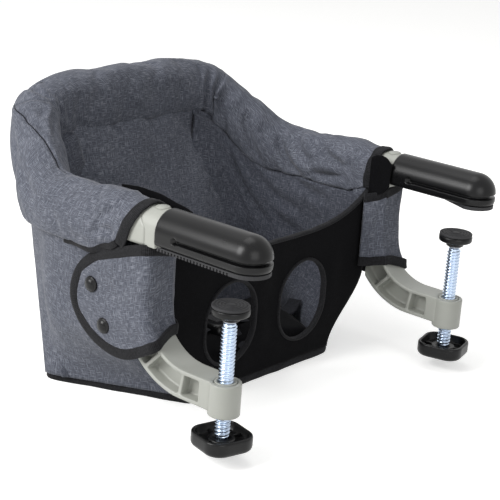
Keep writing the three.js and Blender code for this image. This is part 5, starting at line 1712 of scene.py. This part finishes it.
@dataclass(frozen=True)
class Flap:
    """The cloth flap that wraps the outside of an arm and snaps to the bucket's side."""

    side: Side
    wall: float = 1.8
    tape: float = 12.0
    tape_inset: float = 1.8
    x: float = 225.6
    rest_x: float = 221.0
    front_curve: float = 9.0
    front_gap: float = 4.8
    end: tuple[float, float] = (166.0, 31.0)
    arm_x: float = 203.0
    studs: tuple = ((103.0, -66.0), (80.0, -106.0))
    cap_shift: tuple[float, float] = (-7.0, 4.0)  # from the solids' studs, forward and up
    cap: tuple = ((0, -1.2), (8.6, -1.2), (8.9, 1.0), (8.6, 2.0), (7.8, 2.6), (7.5, 2.5), (7.1, 3.2),
                  (5.8, 4.6), (3.3, 5.8), (0, 6.2))

    def point(self, run: Array, z: Array, off: float) -> Array:
        """Places on the right flap in space.

        Args:
            run: How far each place lies along the unrolled flap: minus y at its side.
            z: Its height.
            off: How far it stands off outwards.

        Returns:
            The points.
        """
        run, z = np.broadcast_arrays(np.asarray(run, float), np.asarray(z, float))
        drop = np.minimum(z + 62, 0)
        front = -40 + np.sqrt(np.maximum(58.0**2 - drop**2, 0)) - self.front_gap
        start, curve = front + self.front_curve, self.front_curve
        corner = curve * pi / 2
        side = lerp(self.x, self.rest_x, smooth(-run, 38, 120))
        past = run + start
        flat = points_of(-side - off, -run, z)
        angle = np.clip(past, 0, corner) / curve
        reach = curve + off
        middle = curve - self.x
        bent = points_of(middle - reach * np.cos(angle), front + curve - reach * np.sin(angle), z)
        after = past - corner
        inner = -self.arm_x + 16
        straight = inner - middle
        line = points_of(middle + after, front - off, z)
        last = FLAP_EDGE[0][0] + start - corner
        share = np.clip((after - straight) / (last - straight), 0, 1)
        tail = points_of(lerp(inner, -self.end[0], share), lerp(front, self.end[1], share) - off, z)
        out = np.where((past <= 0)[..., None], flat, bent)
        out = np.where((after > 0)[..., None], line, out)
        return np.where((after > straight)[..., None], tail, out)

    def bend(self) -> tuple:
        """Returns the bodies the flap joins and where its bend starts and ends. The bend's direction
        leaves both sewn ends with the seat."""
        way = self.side.value
        start, end = (111.8 * way, -69.1, -60.0), (162.8 * way, -100.6, -60.0)
        return "seat", f"{self.side.label}_arm", start, end

    def turned(self, points: Array) -> Array:
        """Returns points of the right flap for this side."""
        return points * np.array([-self.side.value, 1.0, 1.0])

    def build(self) -> None:
        """Builds the cloth, its binding and its two snap caps."""
        label = self.side.label
        edge = spline(FLAP_EDGE, np.linspace(0, 1, 500))
        runs = np.linspace(70.5, -121.2, 84)
        lows, highs = [], []
        for run in runs:
            cross = edge[np.abs(edge[:, 0] - run) < 1.2]
            middle = -65.0 if run > -95 else -77.0
            lows.append(cross[cross[:, 1] < middle][:, 1].mean())
            highs.append(cross[cross[:, 1] >= middle][:, 1].mean())
        v = np.linspace(0, 1, 32)[None]
        z = lerp(np.array(lows)[:, None] + 1.5, np.array(highs)[:, None] - 1.5, v)
        run = np.broadcast_to(runs[:, None], z.shape)
        ends = np.minimum(1, np.sin(pi * np.linspace(0, 1, 84)[:, None]) * 3)
        fade = np.sin(pi * v) ** 0.7 * ends
        wave = (ripple(run, z, 44, 51 + self.side.value) * 1.3 + ripple(run, z, 21, 54) * 0.35) * fade
        outer, inner = self.point(run, z, self.wall), self.point(run, z, 0.0)
        lift = unit(outer - inner) * np.maximum(wave, -0.8)[..., None]
        outer, inner = outer + lift, inner + lift
        outer, inner = on_side(self.side, outer, inner)
        sew(f"{label}_flap_cloth", outer, inner, SLATE_LINEN, self.bend(), f"{label}_flap")
        rim = even(edge, 260)
        run = headings(rim)
        rim = rim + points_of(-run[:, 1], run[:, 0]) * self.tape_inset
        line, above = self.point(rim[:, 0], rim[:, 1], 0.9), self.point(rim[:, 0], rim[:, 1], 1.9)
        tape = band(f"{label}_flap_binding", self.turned(line), self.turned(above - line), self.tape, 3.6,
                    crumple=0.5, seed=6)
        place(tape, BINDING_TAPE, self.bend(), f"{label}_flap_tape")
        way = self.side.value
        profile = [(radius, -way * height) for radius, height in self.cap]
        for name, (y, z) in zip(("upper", "lower"), self.studs):
            y, z = y + self.cap_shift[0], z + self.cap_shift[1]
            face = float(self.point(-y, z, self.wall)[0])
            cap = lathe(f"{label}_{name}_snap", profile, (-way * face, y, z), "X", 40)
            place(cap, BLACK_ABS, "seat", f"{label}_{name}_stud")


@dataclass(frozen=True)
class NeckGuard:
    """Black cloth beside an arm's neck; on the child's right it runs back under the cuff."""

    side: Side
    wall: float = 1.4
    x: float = 177.4

    def stops(self) -> list:
        """Returns rows of y, low edge and high edge."""
        if self.side is Side.LEFT:
            return [(2, 3, 31), (9, -6, 37), (17, -10, 39), (25, -11, 38), (32, -11, 34)]
        return [(0, 18, 33), (14, -3, 36), (26, -9, 38), (37, -11.2, 40), (48, 18, 41.5), (62, 31, 42),
                (80, 33, 42), (104, 35, 39)]

    def build(self) -> None:
        """Builds the guard."""
        rows = spline(self.stops(), np.linspace(0, 1, 48))
        v = np.linspace(0, 1, 12)[None]
        z = lerp(rows[:, 1:2], rows[:, 2:3], v)
        y = np.broadcast_to(rows[:, :1], z.shape)
        x = np.full_like(z, -self.x) + ripple(y, z, 24, 81) * 0.5
        outer = points_of(x, y, z)
        inner = outer + np.array([self.wall, 0, 0])
        outer, inner = on_side(self.side, outer, inner)
        label = self.side.label
        sew(f"{label}_neck_guard_cloth", outer, inner, BLACK_LINEN, TubeCover().mouth_bend(label),
            f"{label}_neck_guard")


# Cushions and harness


@dataclass(frozen=True)
class Cushions:
    """The seat cushion and the pad against the back.

    The pad's top edge stands higher than in the solids, and slopes back to stay under the collar.
    """

    voxel: float = 5.0
    lift: float = 17.0
    lifted: tuple[float, float] = (12.0, 51.0)  # the lift grows between these heights
    top_y: float = 268.0
    tucked: tuple[float, float] = (56.0, 62.0)  # and above these the face leans back

    def shape_back(self, points: Array) -> Array:
        """Moves the back pad's points to its looks.

        Args:
            points: The points.

        Returns:
            How firmly each is held.
        """
        wave = ripple(points[:, 0], points[:, 2] * 0.35, 40, 91) * 1.6
        front = smooth(back_face(points[:, 0], points[:, 2]) - points[:, 1], 6, 16)
        points[:, 1] -= wave * front
        points[:, 2] += self.lift * smooth(points[:, 2], *self.lifted)
        under = smooth(points[:, 2], *self.tucked) * front
        points[:, 1] = lerp(points[:, 1], np.maximum(points[:, 1], self.top_y), under)
        return 1 - front

    def shape_seat(self, points: Array) -> Array:
        """Returns how firmly each point of the seat cushion is held."""
        return 1 - smooth(points[:, 2], -199, -192)

    def build(self) -> None:
        """Builds both and lets their fillings swell them."""
        for name, node, finish, shape in (("seat_pad", "seat_cushion", BLACK_LINEN, self.shape_seat),
                                          ("back_pad", "back_cushion", SLATE_LINEN, self.shape_back)):
            pad = cad_copy(name, node)
            fuse(pad, self.voxel, 3)
            points = points_in(pad) / MM
            pins = shape(points)
            pad.data.vertices.foreach_set("co", (points * MM).ravel())
            pad.data.update()
            simulate(pad, 4.0, 20, 4.0, pins, growth=0.03)
            fine = pad.modifiers.new("fine", "SUBSURF")
            fine.levels = fine.render_levels = 1
            settle(pad)
            box_cloth_uv(pad)
            place(pad, finish, "seat", node)


@dataclass(frozen=True)
class Harness:
    """The crotch strap, the two waist belts and the buckle with its button."""

    width: float = 25.0
    wall: float = 1.6
    buckle: tuple[float, float, float] = (44.0, 50.0, 15.0)
    well: float = 11.4
    button_share: float = 0.95
    at: tuple[float, float] = (112.0, -173.1)
    belt_x: tuple[float, float] = (-22.39, -152.5)
    crotch: tuple = ((43, -199), (43, -187), (49, -180.4), (64, -177.4), (79, -172.4), (86.2, -166.5))
    belt: tuple = ((0, -164, 0), (0.12, -168, 0), (0.289, -171.6, 0), (0.52, -174.9, 0),
                   (0.766, -178.6, 0.15), (0.904, -178, 0.3), (1, -168, 0.38))

    def strap(self, name: str, line: Array, side: Array, *replaced: str) -> None:
        """Builds a length of webbing along a line.

        Args:
            name: The piece's name.
            line: The points of its middle.
            side: Half its width at each point, as a direction.
            *replaced: The CAD nodes that it stands for.
        """
        facing = np.cross(side, np.gradient(line, axis=0))
        facing = facing * np.where(facing[:, 2:] < 0, -1, 1)
        piece = band(name, line, facing, self.width, self.wall)
        place(piece, WEBBING, "seat", *replaced)

    def build(self) -> None:
        """Builds the straps, the buckle's shell and its button."""
        fine = spline(self.crotch, np.linspace(0, 1, 40))
        line = points_of(0, fine[:, 0], fine[:, 1])
        side = np.broadcast_to(np.array([1.0, 0, 0]), line.shape)
        self.strap("crotch_webbing", line, side, "crotch_strap")
        rows = spline(self.belt, np.linspace(0, 1, 60))
        line = points_of(lerp(*self.belt_x, rows[:, 0]), self.at[0], rows[:, 1])
        side = points_of(-rows[:, 2], np.sqrt(1 - rows[:, 2] ** 2), 0)
        for way in Side:
            turn = np.array([-way.value, 1.0, 1.0])
            self.strap(f"{way.label}_waist_webbing", line * turn, side * turn, f"{way.label}_waist_belt")
        self.build_buckle()

    def stack(self, name: str, *parts: tuple) -> Piece:
        """A solid of level rings round the buckle's middle.

        Args:
            name: The piece's name.
            *parts: An outline with its rings: how much each is scaled, and its height above the belts.

        Returns:
            The object.
        """
        y, z = self.at
        rings = [
            points_of(plan[:, 0] * share, plan[:, 1] * share + y, z + level)
            for plan, levels in parts
            for share, level in levels
        ]
        return tube_solid(name, np.array(rings))

    def build_buckle(self) -> None:
        """Builds the buckle's shell, with a well for the button, and the button."""
        wide, long, high = self.buckle
        turn = np.linspace(0, 2 * pi, 64, endpoint=False)
        plan = points_of(squared(np.cos(turn), 0.45) * wide / 2, squared(np.sin(turn), 0.45) * long / 2)
        well = points_of(squared(np.cos(turn), 0.25), squared(np.sin(turn), 0.25)) * self.well
        outside = ((0.55, 0.1), (0.9, 0.05), (0.98, 1.6), (1, 5), (0.97, 9), (0.9, high - 1.6),
                   (0.8, high), (0.62, high))
        inside = ((1.06, high - 0.2), (1, high - 1), (1, high - 4.8), (0.1, high - 4.8))
        place(self.stack("buckle_shell", (plan, outside), (well, inside)), BLACK_ABS, "seat", "buckle")
        levels = ((0.3, 10.3), (0.97, 10.3), (1, 11), (1, 15.6), (0.95, 16.4), (0.8, 16.5),
                  (0.3, 16.1), (0.05, 16.0))
        button = self.stack("buckle_push_button", (well * self.button_share, levels))
        place(button, PAD_RUBBER, "buckle_button", "buckle_button")


# The folding arm, its grip and its screw


def turned_ring(name: str, profile: Sequence[Point], centre: Point) -> Piece:
    """A turned solid with a bore.

    Args:
        name: The piece's name.
        profile: The closed outline of its wall: radius and height at each stop.
        centre: Where its axis and its height of 0 are.

    Returns:
        The object.
    """
    turn = turns(72)
    radius, height = np.asarray(profile, float).T
    rings = points_of(np.outer(np.cos(turn), radius), np.outer(np.sin(turn), radius), height)
    return tube_solid(name, rings + np.asarray(centre, float), True)


@dataclass(frozen=True)
class ClampArm:
    """One folding arm: a ribbed nylon moulding whose neck hangs on the tube and whose boss holds the
    screw, with the black grip and its toothed pad on the beam."""

    side: Side
    x: float = -203.0
    half: float = 16.0
    web: float = 5.0
    flange: float = 4.5
    rib: float = 4.5
    neck: float = 22.0
    slot: float = 15.6
    screw_y: float = -83.0
    inner: tuple[float, float, float] = (-40.0, -62.0, 58.0)
    outer: tuple[float, float, float] = (-36.0, -60.0, 92.0)
    grip_radius: float = 23.5

    def arc(self, bend: tuple, inset: float, start: float, end: float, steps: int = 26) -> list:
        """Points along a bend of the arm.

        Args:
            bend: Its middle's y and z, and its radius.
            inset: What is added to the radius.
            start: The first angle, in degrees.
            end: The last.
            steps: How many steps.

        Returns:
            The points' y and z.
        """
        y, z, radius = bend
        turn = np.radians(np.linspace(start, end, steps + 1))
        return [(y + (radius + inset) * cos(t), z + (radius + inset) * sin(t)) for t in turn]

    def neck_arc(self, radius: float, start: float, end: float, count: int) -> list:
        """Returns points of a circle round the neck's middle, x first, between two angles."""
        return [(self.x + radius * cos(t), 17 + radius * sin(t))
                for t in np.linspace(start, end, count)]

    def rib_at(self, degrees: float) -> tuple:
        """A rib across the bend.

        Args:
            degrees: Its angle round the bend.

        Returns:
            A solid for joined().
        """
        a, b = self.arc(self.inner, 2.0, degrees, degrees, 0)[0]
        c, d = self.arc(self.outer, -2.0, degrees, degrees, 0)[0]
        length = hypot(c - a, d - b)
        step = ((d - b) / length * self.rib / 2, -(c - a) / length * self.rib / 2)
        outline = [(a - step[0], b - step[1]), (c - step[0], d - step[1]), (c + step[0], d + step[1]),
                   (a + step[0], b + step[1])]
        return self.slab(outline, self.half - 1.2)

    def slab(self, outline: Sequence, half: float) -> tuple:
        """Returns a yz outline as a solid that is centred on the arm."""
        return prism(outline, self.x - half, self.x + half, "X")

    def frame(self) -> list:
        """Returns the arm's overlapping solids below its neck."""
        start = -61.0
        low, high = self.outer[1] - self.outer[2], self.inner[1] - self.inner[2]
        out_path = [(start, low), *self.arc(self.outer, 0, -90, 0), (56, -37), (53, -22), (38, -3)]
        in_path = [(start, high), *self.arc(self.inner, 0, -90, 0), (18, -3)]
        out_back = [(start, low + self.flange), *self.arc(self.outer, -self.flange, -90, 0), (51.5, -37),
                    (48.8, -26.5)]
        in_back = [(start, high - self.flange), *self.arc(self.inner, self.flange, -90, 0), (22.5, -26.5)]
        solids = [self.slab(out_path + in_path[::-1], self.web / 2)]
        solids.append(self.slab(out_path[:-1] + [(49, -21)] + out_back[::-1], self.half))
        solids.append(self.slab(in_path[:-1] + [(18, -21), (22.5, -21)] + in_back[::-1], self.half))
        solids.append(self.slab([(18, 3.4), (38, 3.4), (38, -3), (53, -22), (54.2, -26.5), (18, -26.5)],
                                self.half))
        solids += [self.rib_at(angle) for angle in (-88, -54, -20)]
        solids.append(self.slab([(20, -64.2), (54, -64.2), (54, -59.8), (20, -59.8)], self.half - 1.2))
        return solids

    def boss(self) -> list:
        """Returns the block beside the screw and the neck's solids."""
        turn = np.radians(np.linspace(-60, 60, 21))
        edge = [(self.x + 14.5 * sin(t), self.screw_y + 14.5 * cos(t)) for t in turn]
        plan = [(self.x - self.half, -60.5), (self.x - self.half, -75), *edge,
                (self.x + self.half, -75), (self.x + self.half, -60.5)]
        block = prism(plan, -152.0, -120.0, "Z")
        reach = self.neck
        end = [(self.x + reach, 0.6), *self.neck_arc(reach, 0, pi, 33), (self.x - reach, 0.6)]
        neck = prism(end, 5.0, 39.0, "Y")
        sides = self.x - 12, self.x + 12
        beam = prism([(sides[0], 9), (sides[1], 9), (sides[1], 30), (sides[0], 30)], -106, 6, "Y")
        return [block, neck, beam]

    def body(self) -> Piece:
        """Builds the moulding for the right side."""
        arm = joined("right_arm_moulding", self.frame() + self.boss())
        ring = turned_ring("ring", [(12.3, -157), (12.3, -121), (17, -121), (17, -157)],
                           (self.x, self.screw_y, 0))
        reach = self.neck
        plan = [*self.neck_arc(reach, 0, pi, 33), (self.x - reach, -120), (self.x + reach, -120)]
        shape = facing_out(mesh_object("plan", *prism(plan, -200, 60, "Z")))
        reach = self.slot
        corner = self.neck_arc(reach, pi, 1.5 * pi, 14)
        plan = [(self.x - reach, 60), *corner, (self.x + 40, 1.4), (self.x + 40, 60)]
        slot = facing_out(mesh_object("slot", *prism(plan, 9.7, 28.3, "Z")))
        voxel_skin(arm, 0.9)
        settle(arm)
        for other, kind in ((shape, "INTERSECT"), (slot, "DIFFERENCE"), (ring, "UNION")):
            combine(arm, other, kind)
            settle(arm)
            remove(other)
        fuse(arm, 0.85, 5, 0.4)
        return arm

    def build(self) -> None:
        """Builds the arm, its cap and its grip."""
        label = self.side.label
        made = bpy.data.objects.get("right_arm_moulding") or self.body()
        if self.side is Side.LEFT:
            made = add_object("left_arm_moulding", made.data.copy())
            turn_over(made)
        place(made, PALE_NYLON, f"{label}_arm", f"{label}_arm")
        x = self.side.value * -self.x
        cap = lathe(f"{label}_pin_cap", [(0, -2.2), (7.6, -2.2), (7.6, 0.2), (7.0, 0.9), (0, 1.3)],
                    (x, 17.0, 39.0))
        place(cap, PALE_NYLON, f"{label}_arm")
        nut = turned_ring(
            f"{label}_nut",
            [(8.35, -156.8), (8.35, -121.4), (9.0, -120.5), (11.4, -120.5), (11.8, -121), (11.8, -156.8)],
            (x, self.screw_y, 0),
        )
        place(nut, PALE_NYLON, f"{label}_arm", f"{label}_screw_nut")
        grip = self.grip()
        if self.side is Side.LEFT:
            turn_over(grip)
        grip.name = f"{label}_grip_housing"
        place(grip, BLACK_ABS, f"{label}_arm", f"{label}_grip")
        pad = soften(cad_copy(f"{label}_grip_teeth", f"{label}_grip_pad"), 0.4, 2)
        place(pad, PAD_RUBBER, f"{label}_arm", f"{label}_grip_pad")

    def grip(self) -> Piece:
        """Builds the right grip: straight sides, a round nose and a groove above its springy lip."""
        back, nose, radius = 4.7, -103.0, self.grip_radius
        turn = np.linspace(0, pi, 70)
        side = np.linspace(back, nose, 76)[:-1]
        flat = [(1.0, y, 0.0) for y in side]
        flat += [(cos(t), nose, sin(t)) for t in turn]
        flat += [(-1.0, y, 0.0) for y in side[::-1]]
        plan = np.array(flat)
        rise = np.radians(np.linspace(4, 87, 22))
        levels = [(4.4, 7.0), (4.4, 4.2), (4.7, 2.6), (5.5, 1.3), (6.8, 0.5), (8.6, 0.1)]
        levels += [(z, 0.0) for z in np.arange(9.4, 18.4, 0.35)]
        levels += [(17 + radius * sin(t), radius * (1 - cos(t))) for t in rise]
        rings = []
        for z, inset in levels:
            y = plan[:, 1] - plan[:, 2] * (radius - inset)
            slit = 1.9 + 0.35 - abs(z - 15.3)
            round_end = 3.4 - np.hypot(y + 22, z - 15.3)
            depth = np.maximum(np.where(y < -22, slit, -9.0), round_end)
            groove = 6.3 * smooth(depth, -0.25, 0.55)
            reach = radius - np.maximum(inset, groove)
            rings.append(points_of(self.x + plan[:, 0] * reach, plan[:, 1] - plan[:, 2] * reach, z))
        return tube_solid("grip", np.array(rings))


@dataclass(frozen=True)
class ClampScrew:
    """A screw with its knob and the pad that swivels on its head."""

    side: Side
    x: float = 203.0
    y: float = -83.0
    pitch: float = 4.0
    root: float = 6.5
    crest: float = 8.0
    core: float = 5.0
    half: float = 28.0
    corner: float = 17.5
    turn: float = -14.0

    def build(self) -> None:
        """Builds the screw, the knob and the pressure pad."""
        label, centre = self.side.label, (self.side.value * self.x, self.y, 0.0)
        place(self.thread(centre), BRIGHT_ZINC, f"{label}_screw", f"{label}_clamp_screw")
        place(self.knob(centre), BLACK_ABS, f"{label}_screw", f"{label}_knob")
        pad = turned_ring(
            f"{label}_pressure_disc",
            [(5.3, -45.2), (5.3, -54.3), (9.6, -54.3), (10.4, -53.6), (10.5, -49.4), (18.6, -48.3),
             (19.6, -47.6), (20, -46.6), (20, -42.2), (19.4, -41.4), (18.6, -41.3), (3, -41.3), (3, -45.2)],
            centre,
        )
        place(pad, BLACK_ABS, f"{label}_pad", f"{label}_pressure_pad")
        rings = [(0, -41.0), (19.2, -41.0), (19.55, -40.6), (19.55, -38.5), (19.1, -38.0)]
        for radius in (16.5, 13.0, 9.5, 6.0):
            rings += [(radius + 0.9, -38.0), (radius + 0.5, -38.7), (radius - 0.5, -38.7),
                      (radius - 0.9, -38.0)]
        facing = lathe(f"{label}_pad_rubber", [*rings, (0, -38.0)], centre)
        place(facing, PAD_RUBBER, f"{label}_pad", f"{label}_pad_facing")

    def thread(self, centre: Point) -> Piece:
        """Builds the screw with a right-handed thread.

        Args:
            centre: Where its axis is.

        Returns:
            The object.
        """
        sides, low, high = 36, -182.0, -58.0
        turn = turns(sides)
        z = np.linspace(low, high, 330)[:, None]
        phase = z / self.pitch - turn[None] / (2 * pi)
        rise = smooth(np.abs((phase % 1) * 2 - 1), 0.3, 0.75)
        fade = smooth(z, low, low + 3) * (1 - smooth(z, high - 3, high))
        radius = lerp(self.root, self.crest, rise * fade)
        z, radius = np.broadcast_arrays(z, radius)
        ends = [(self.root - 1, -189.0), (self.root, -188.2), (self.root, -182.6)]
        tops = [(self.root - 0.6, -57.6), (self.core, -57.2), (self.core, -46.0), (self.core - 0.6, -45.5)]
        stack = [*ends, *zip(radius, z), *tops]
        rings = [points_of(r * np.cos(turn), r * np.sin(turn), h) for r, h in stack]
        return tube_solid(f"{self.side.label}_zinc_screw", np.array(rings) + np.asarray(centre))

    def plan(self, inset: float) -> Array:
        """The knob's rounded square.

        Args:
            inset: How far it is drawn in.

        Returns:
            Its outline.
        """
        corner = max(self.corner - inset, 1.0)
        flat = self.half - inset - corner
        points = []
        for quarter in range(4):
            start = radians(self.turn) + quarter * pi / 2
            a = flat * cos(start) - flat * sin(start)
            b = flat * sin(start) + flat * cos(start)
            for t in np.linspace(start, start + pi / 2, 16):
                points.append((a + corner * cos(t), b + corner * sin(t)))
        return even(np.array([*points, points[0]]), 129)[:-1]

    def knob(self, centre: Point) -> Piece:
        """Builds the knob: a rounded square with a dished top, a hub and short ribs between them.

        Args:
            centre: Where its axis is.

        Returns:
            The object.
        """
        levels = [(-193.5, 12.0), (-193.5, 5.5), (-193.2, 3.8), (-192.4, 2.2), (-191.0, 0.9), (-189.4, 0.2),
                  (-187.6, 0), (-179.4, 0), (-178.1, 0.25), (-177.3, 0.9), (-177, 1.7), (-177, 2.8),
                  (-177.3, 3.4), (-178.2, 3.8), (-185.0, 4.8), (-185.9, 5.8), (-186, 8.0)]
        rings = [points_of(*self.plan(inset).T, z) for z, inset in levels]
        heading = unit(rings[0][:, :2])
        hub = [(16.4, -186), (15.4, -185.5), (14.9, -184.4), (14.6, -183.5), (14.1, -182.8),
               (13.2, -182.5), (8.0, -182.5), (7.6, -183), (7.6, -184.5), (0.5, -184.5)]
        rings += [points_of(*(heading * r).T, z) for r, z in hub]
        rings.insert(0, points_of(*(heading * 0.5).T, -193.5))
        turn = np.array([-self.side.value, 1, 1])
        knob = tube_solid("knob_body", np.array(rings) * turn + np.asarray(centre))
        parts = [knob]
        for quarter in range(4):
            way = radians(self.turn + 90 * quarter)
            along_rib = np.array([cos(way), sin(way)])
            across = np.array([-along_rib[1], along_rib[0]])
            corners = ((13, -1.2), (24.5, -1.0), (24.5, 1.0), (13, 1.2))
            outline = [along_rib * a + across * b for a, b in corners]
            points, faces = prism(outline, -186.6, -182.9, "Z")
            rib = facing_out(mesh_object("rib", points * turn + np.asarray(centre), faces))
            parts.append(soften(rib, 0.5, 2))
        with bpy.context.temp_override(active_object=knob, selected_editable_objects=parts,
                                       selected_objects=parts):
            bpy.ops.object.join()
        knob.name = f"{self.side.label}_clamp_knob"
        return knob


@dataclass(frozen=True)
class TubeFrame:
    """The bent tube, its end fittings and rivets, which the cover hides."""

    neck: float = 22.0

    def build(self) -> None:
        """Dresses the hidden pieces that come straight from the frame."""
        keep = {"frame_tube": DRAWN_STEEL}
        for side in Side:
            keep[f"{side.label}_tube_fitting"] = PALE_NYLON
            for name in ("fold_pin", "grip_screw", "pad_clip", "fitting_rivet"):
                keep[f"{side.label}_{name}"] = DRAWN_STEEL
            self.shell(side)
        for name, finish in keep.items():
            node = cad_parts[name]
            node.data.materials.clear()
            node.data.materials.append(finish.material())
            log.info("%s: carried over, %s", name, finish.name)

    def shell(self, side: Side) -> None:
        """Builds the fitting's cover, which fills the cuff's mouth behind the arm's round neck.

        Args:
            side: The side.
        """
        turn = np.linspace(0, pi, 33)
        legs = np.linspace(0.6, 17, 6)[:-1]
        across = np.concatenate([np.full(5, -1.0), -np.cos(turn), np.full(5, 1.0)])
        high = np.concatenate([legs, 17 + self.neck * np.sin(turn), legs[::-1]])
        front = 17.7 + np.sqrt(np.maximum(self.neck**2 - (self.neck * across) ** 2, 0))
        front = np.where(across > 0, 39.9, np.maximum(front, 20.0))
        y = lerp(front[:, None], 62.0, np.linspace(0, 1, 12)[None])
        grids = []
        for inset in (0.0, 2.2):
            x = -203.0 + across * (self.neck - inset)
            z = np.minimum(high, 17 + (high - 17) * (1 - inset / self.neck)) if inset else high
            grids.append(points_of(x[:, None], y, z[:, None]))
        outer, inner = on_side(side, *grids)
        made = facing_out(sheet_solid(f"{side.label}_fitting_cover", outer, inner))
        place(made, PALE_NYLON, "seat")


# The studio


@dataclass(frozen=True)
class Studio:
    """A plain pale floor, soft lights and the camera."""

    floor_z: float = -209.2
    floor_half: float = 9000.0
    spot: tuple[float, float, float] = (-1.23885, -0.96541, 0.45274)
    lens: float = 104.6
    white: tuple[float, float, float, float] = (1.0, 1.0, 1.0, 1.0)

    def build(self) -> None:
        """Builds the studio."""
        corners = np.array([(-1, -1), (1, -1), (1, 1), (-1, 1)]) * self.floor_half
        floor = mesh_object("floor", points_of(*corners.T, self.floor_z), [[0, 1, 2, 3]])
        floor.data.materials.append(self.paper())
        self.light("key", (-2.2, 0.9, 1.5), 1.4, 74.0)
        self.light("fill", (-1.2, -2.2, 1.0), 1.6, 18.0)
        self.light("top", (0.1, 0.5, 2.3), 1.4, 14.0)
        self.world()
        self.camera()
        view = bpy.context.scene.view_settings
        view.view_transform = "Standard"

    def paper(self) -> bpy.types.Material:
        """Returns the floor's matt white paper."""
        made = bpy.data.materials.new("studio_paper")
        made.use_nodes = True
        tree = made.node_tree
        glow = {"Value": seen_rays(tree), "To Min": 0.0, "To Max": 0.5}
        fill(tree, tree.nodes["Principled BSDF"], {
            "Base Color": linear("#f4f4f2"),
            "Roughness": 0.95,
            "Emission Strength": add_node(tree, "ShaderNodeMapRange", glow).outputs[0],
            "Emission Color": self.white,
        })
        return made

    def light(self, name: str, spot: Point, size: float, watts: float) -> None:
        """Adds a soft square light that looks at the seat.

        Args:
            name: The light's name.
            spot: Where it is, in metres.
            size: Its side, in metres.
            watts: Its power.
        """
        data = bpy.data.lights.new(name, "AREA")
        data.shape, data.size, data.energy = "SQUARE", size, watts
        lamp = add_object(name, data)
        lamp.location = spot
        lamp.rotation_euler = (Vector((0, 0.05, -0.06)) - Vector(spot)).to_track_quat("-Z", "Y").to_euler()

    def world(self) -> None:
        """Lights the scene softly from all round, and shows white behind it."""
        made = bpy.data.worlds.new("studio")
        bpy.context.scene.world = made
        made.use_nodes = True
        tree = made.node_tree
        tree.nodes.clear()
        power = {"Value": seen_rays(tree), "To Min": 0.36, "To Max": 1.0}
        strength = add_node(tree, "ShaderNodeMapRange", power).outputs[0]
        sky = add_node(tree, "ShaderNodeBackground", {"Color": self.white, "Strength": strength})
        add_node(tree, "ShaderNodeOutputWorld", {"Surface": sky.outputs[0]})

    def camera(self) -> None:
        """Puts the camera where the photograph's was."""
        data = bpy.data.cameras.new("camera")
        data.lens, data.sensor_width = self.lens, 36.0
        made = add_object("camera", data)
        right, up, back = (0.6556, -0.7519, 0.0700), (0.1852, 0.2499, 0.9504), (-0.7321, -0.6101, 0.3030)
        turn = Matrix((right, up, back)).transposed().to_4x4()
        made.matrix_world = Matrix.Translation(Vector(self.spot)) @ turn
        bpy.context.scene.camera = made


def main() -> None:
    """Builds the seat's looks piece by piece, then the studio."""
    logging.basicConfig(level=logging.INFO, format="%(message)s")
    TubeFrame().build()
    for side in Side:
        ClampArm(side).build()
        ClampScrew(side).build()
        Flap(side).build()
        NeckGuard(side).build()
    TubeCover().build()
    Bucket().build()
    Cushions().build()
    Harness().build()
    Studio().build()


if __name__ == "__main__":
    main()
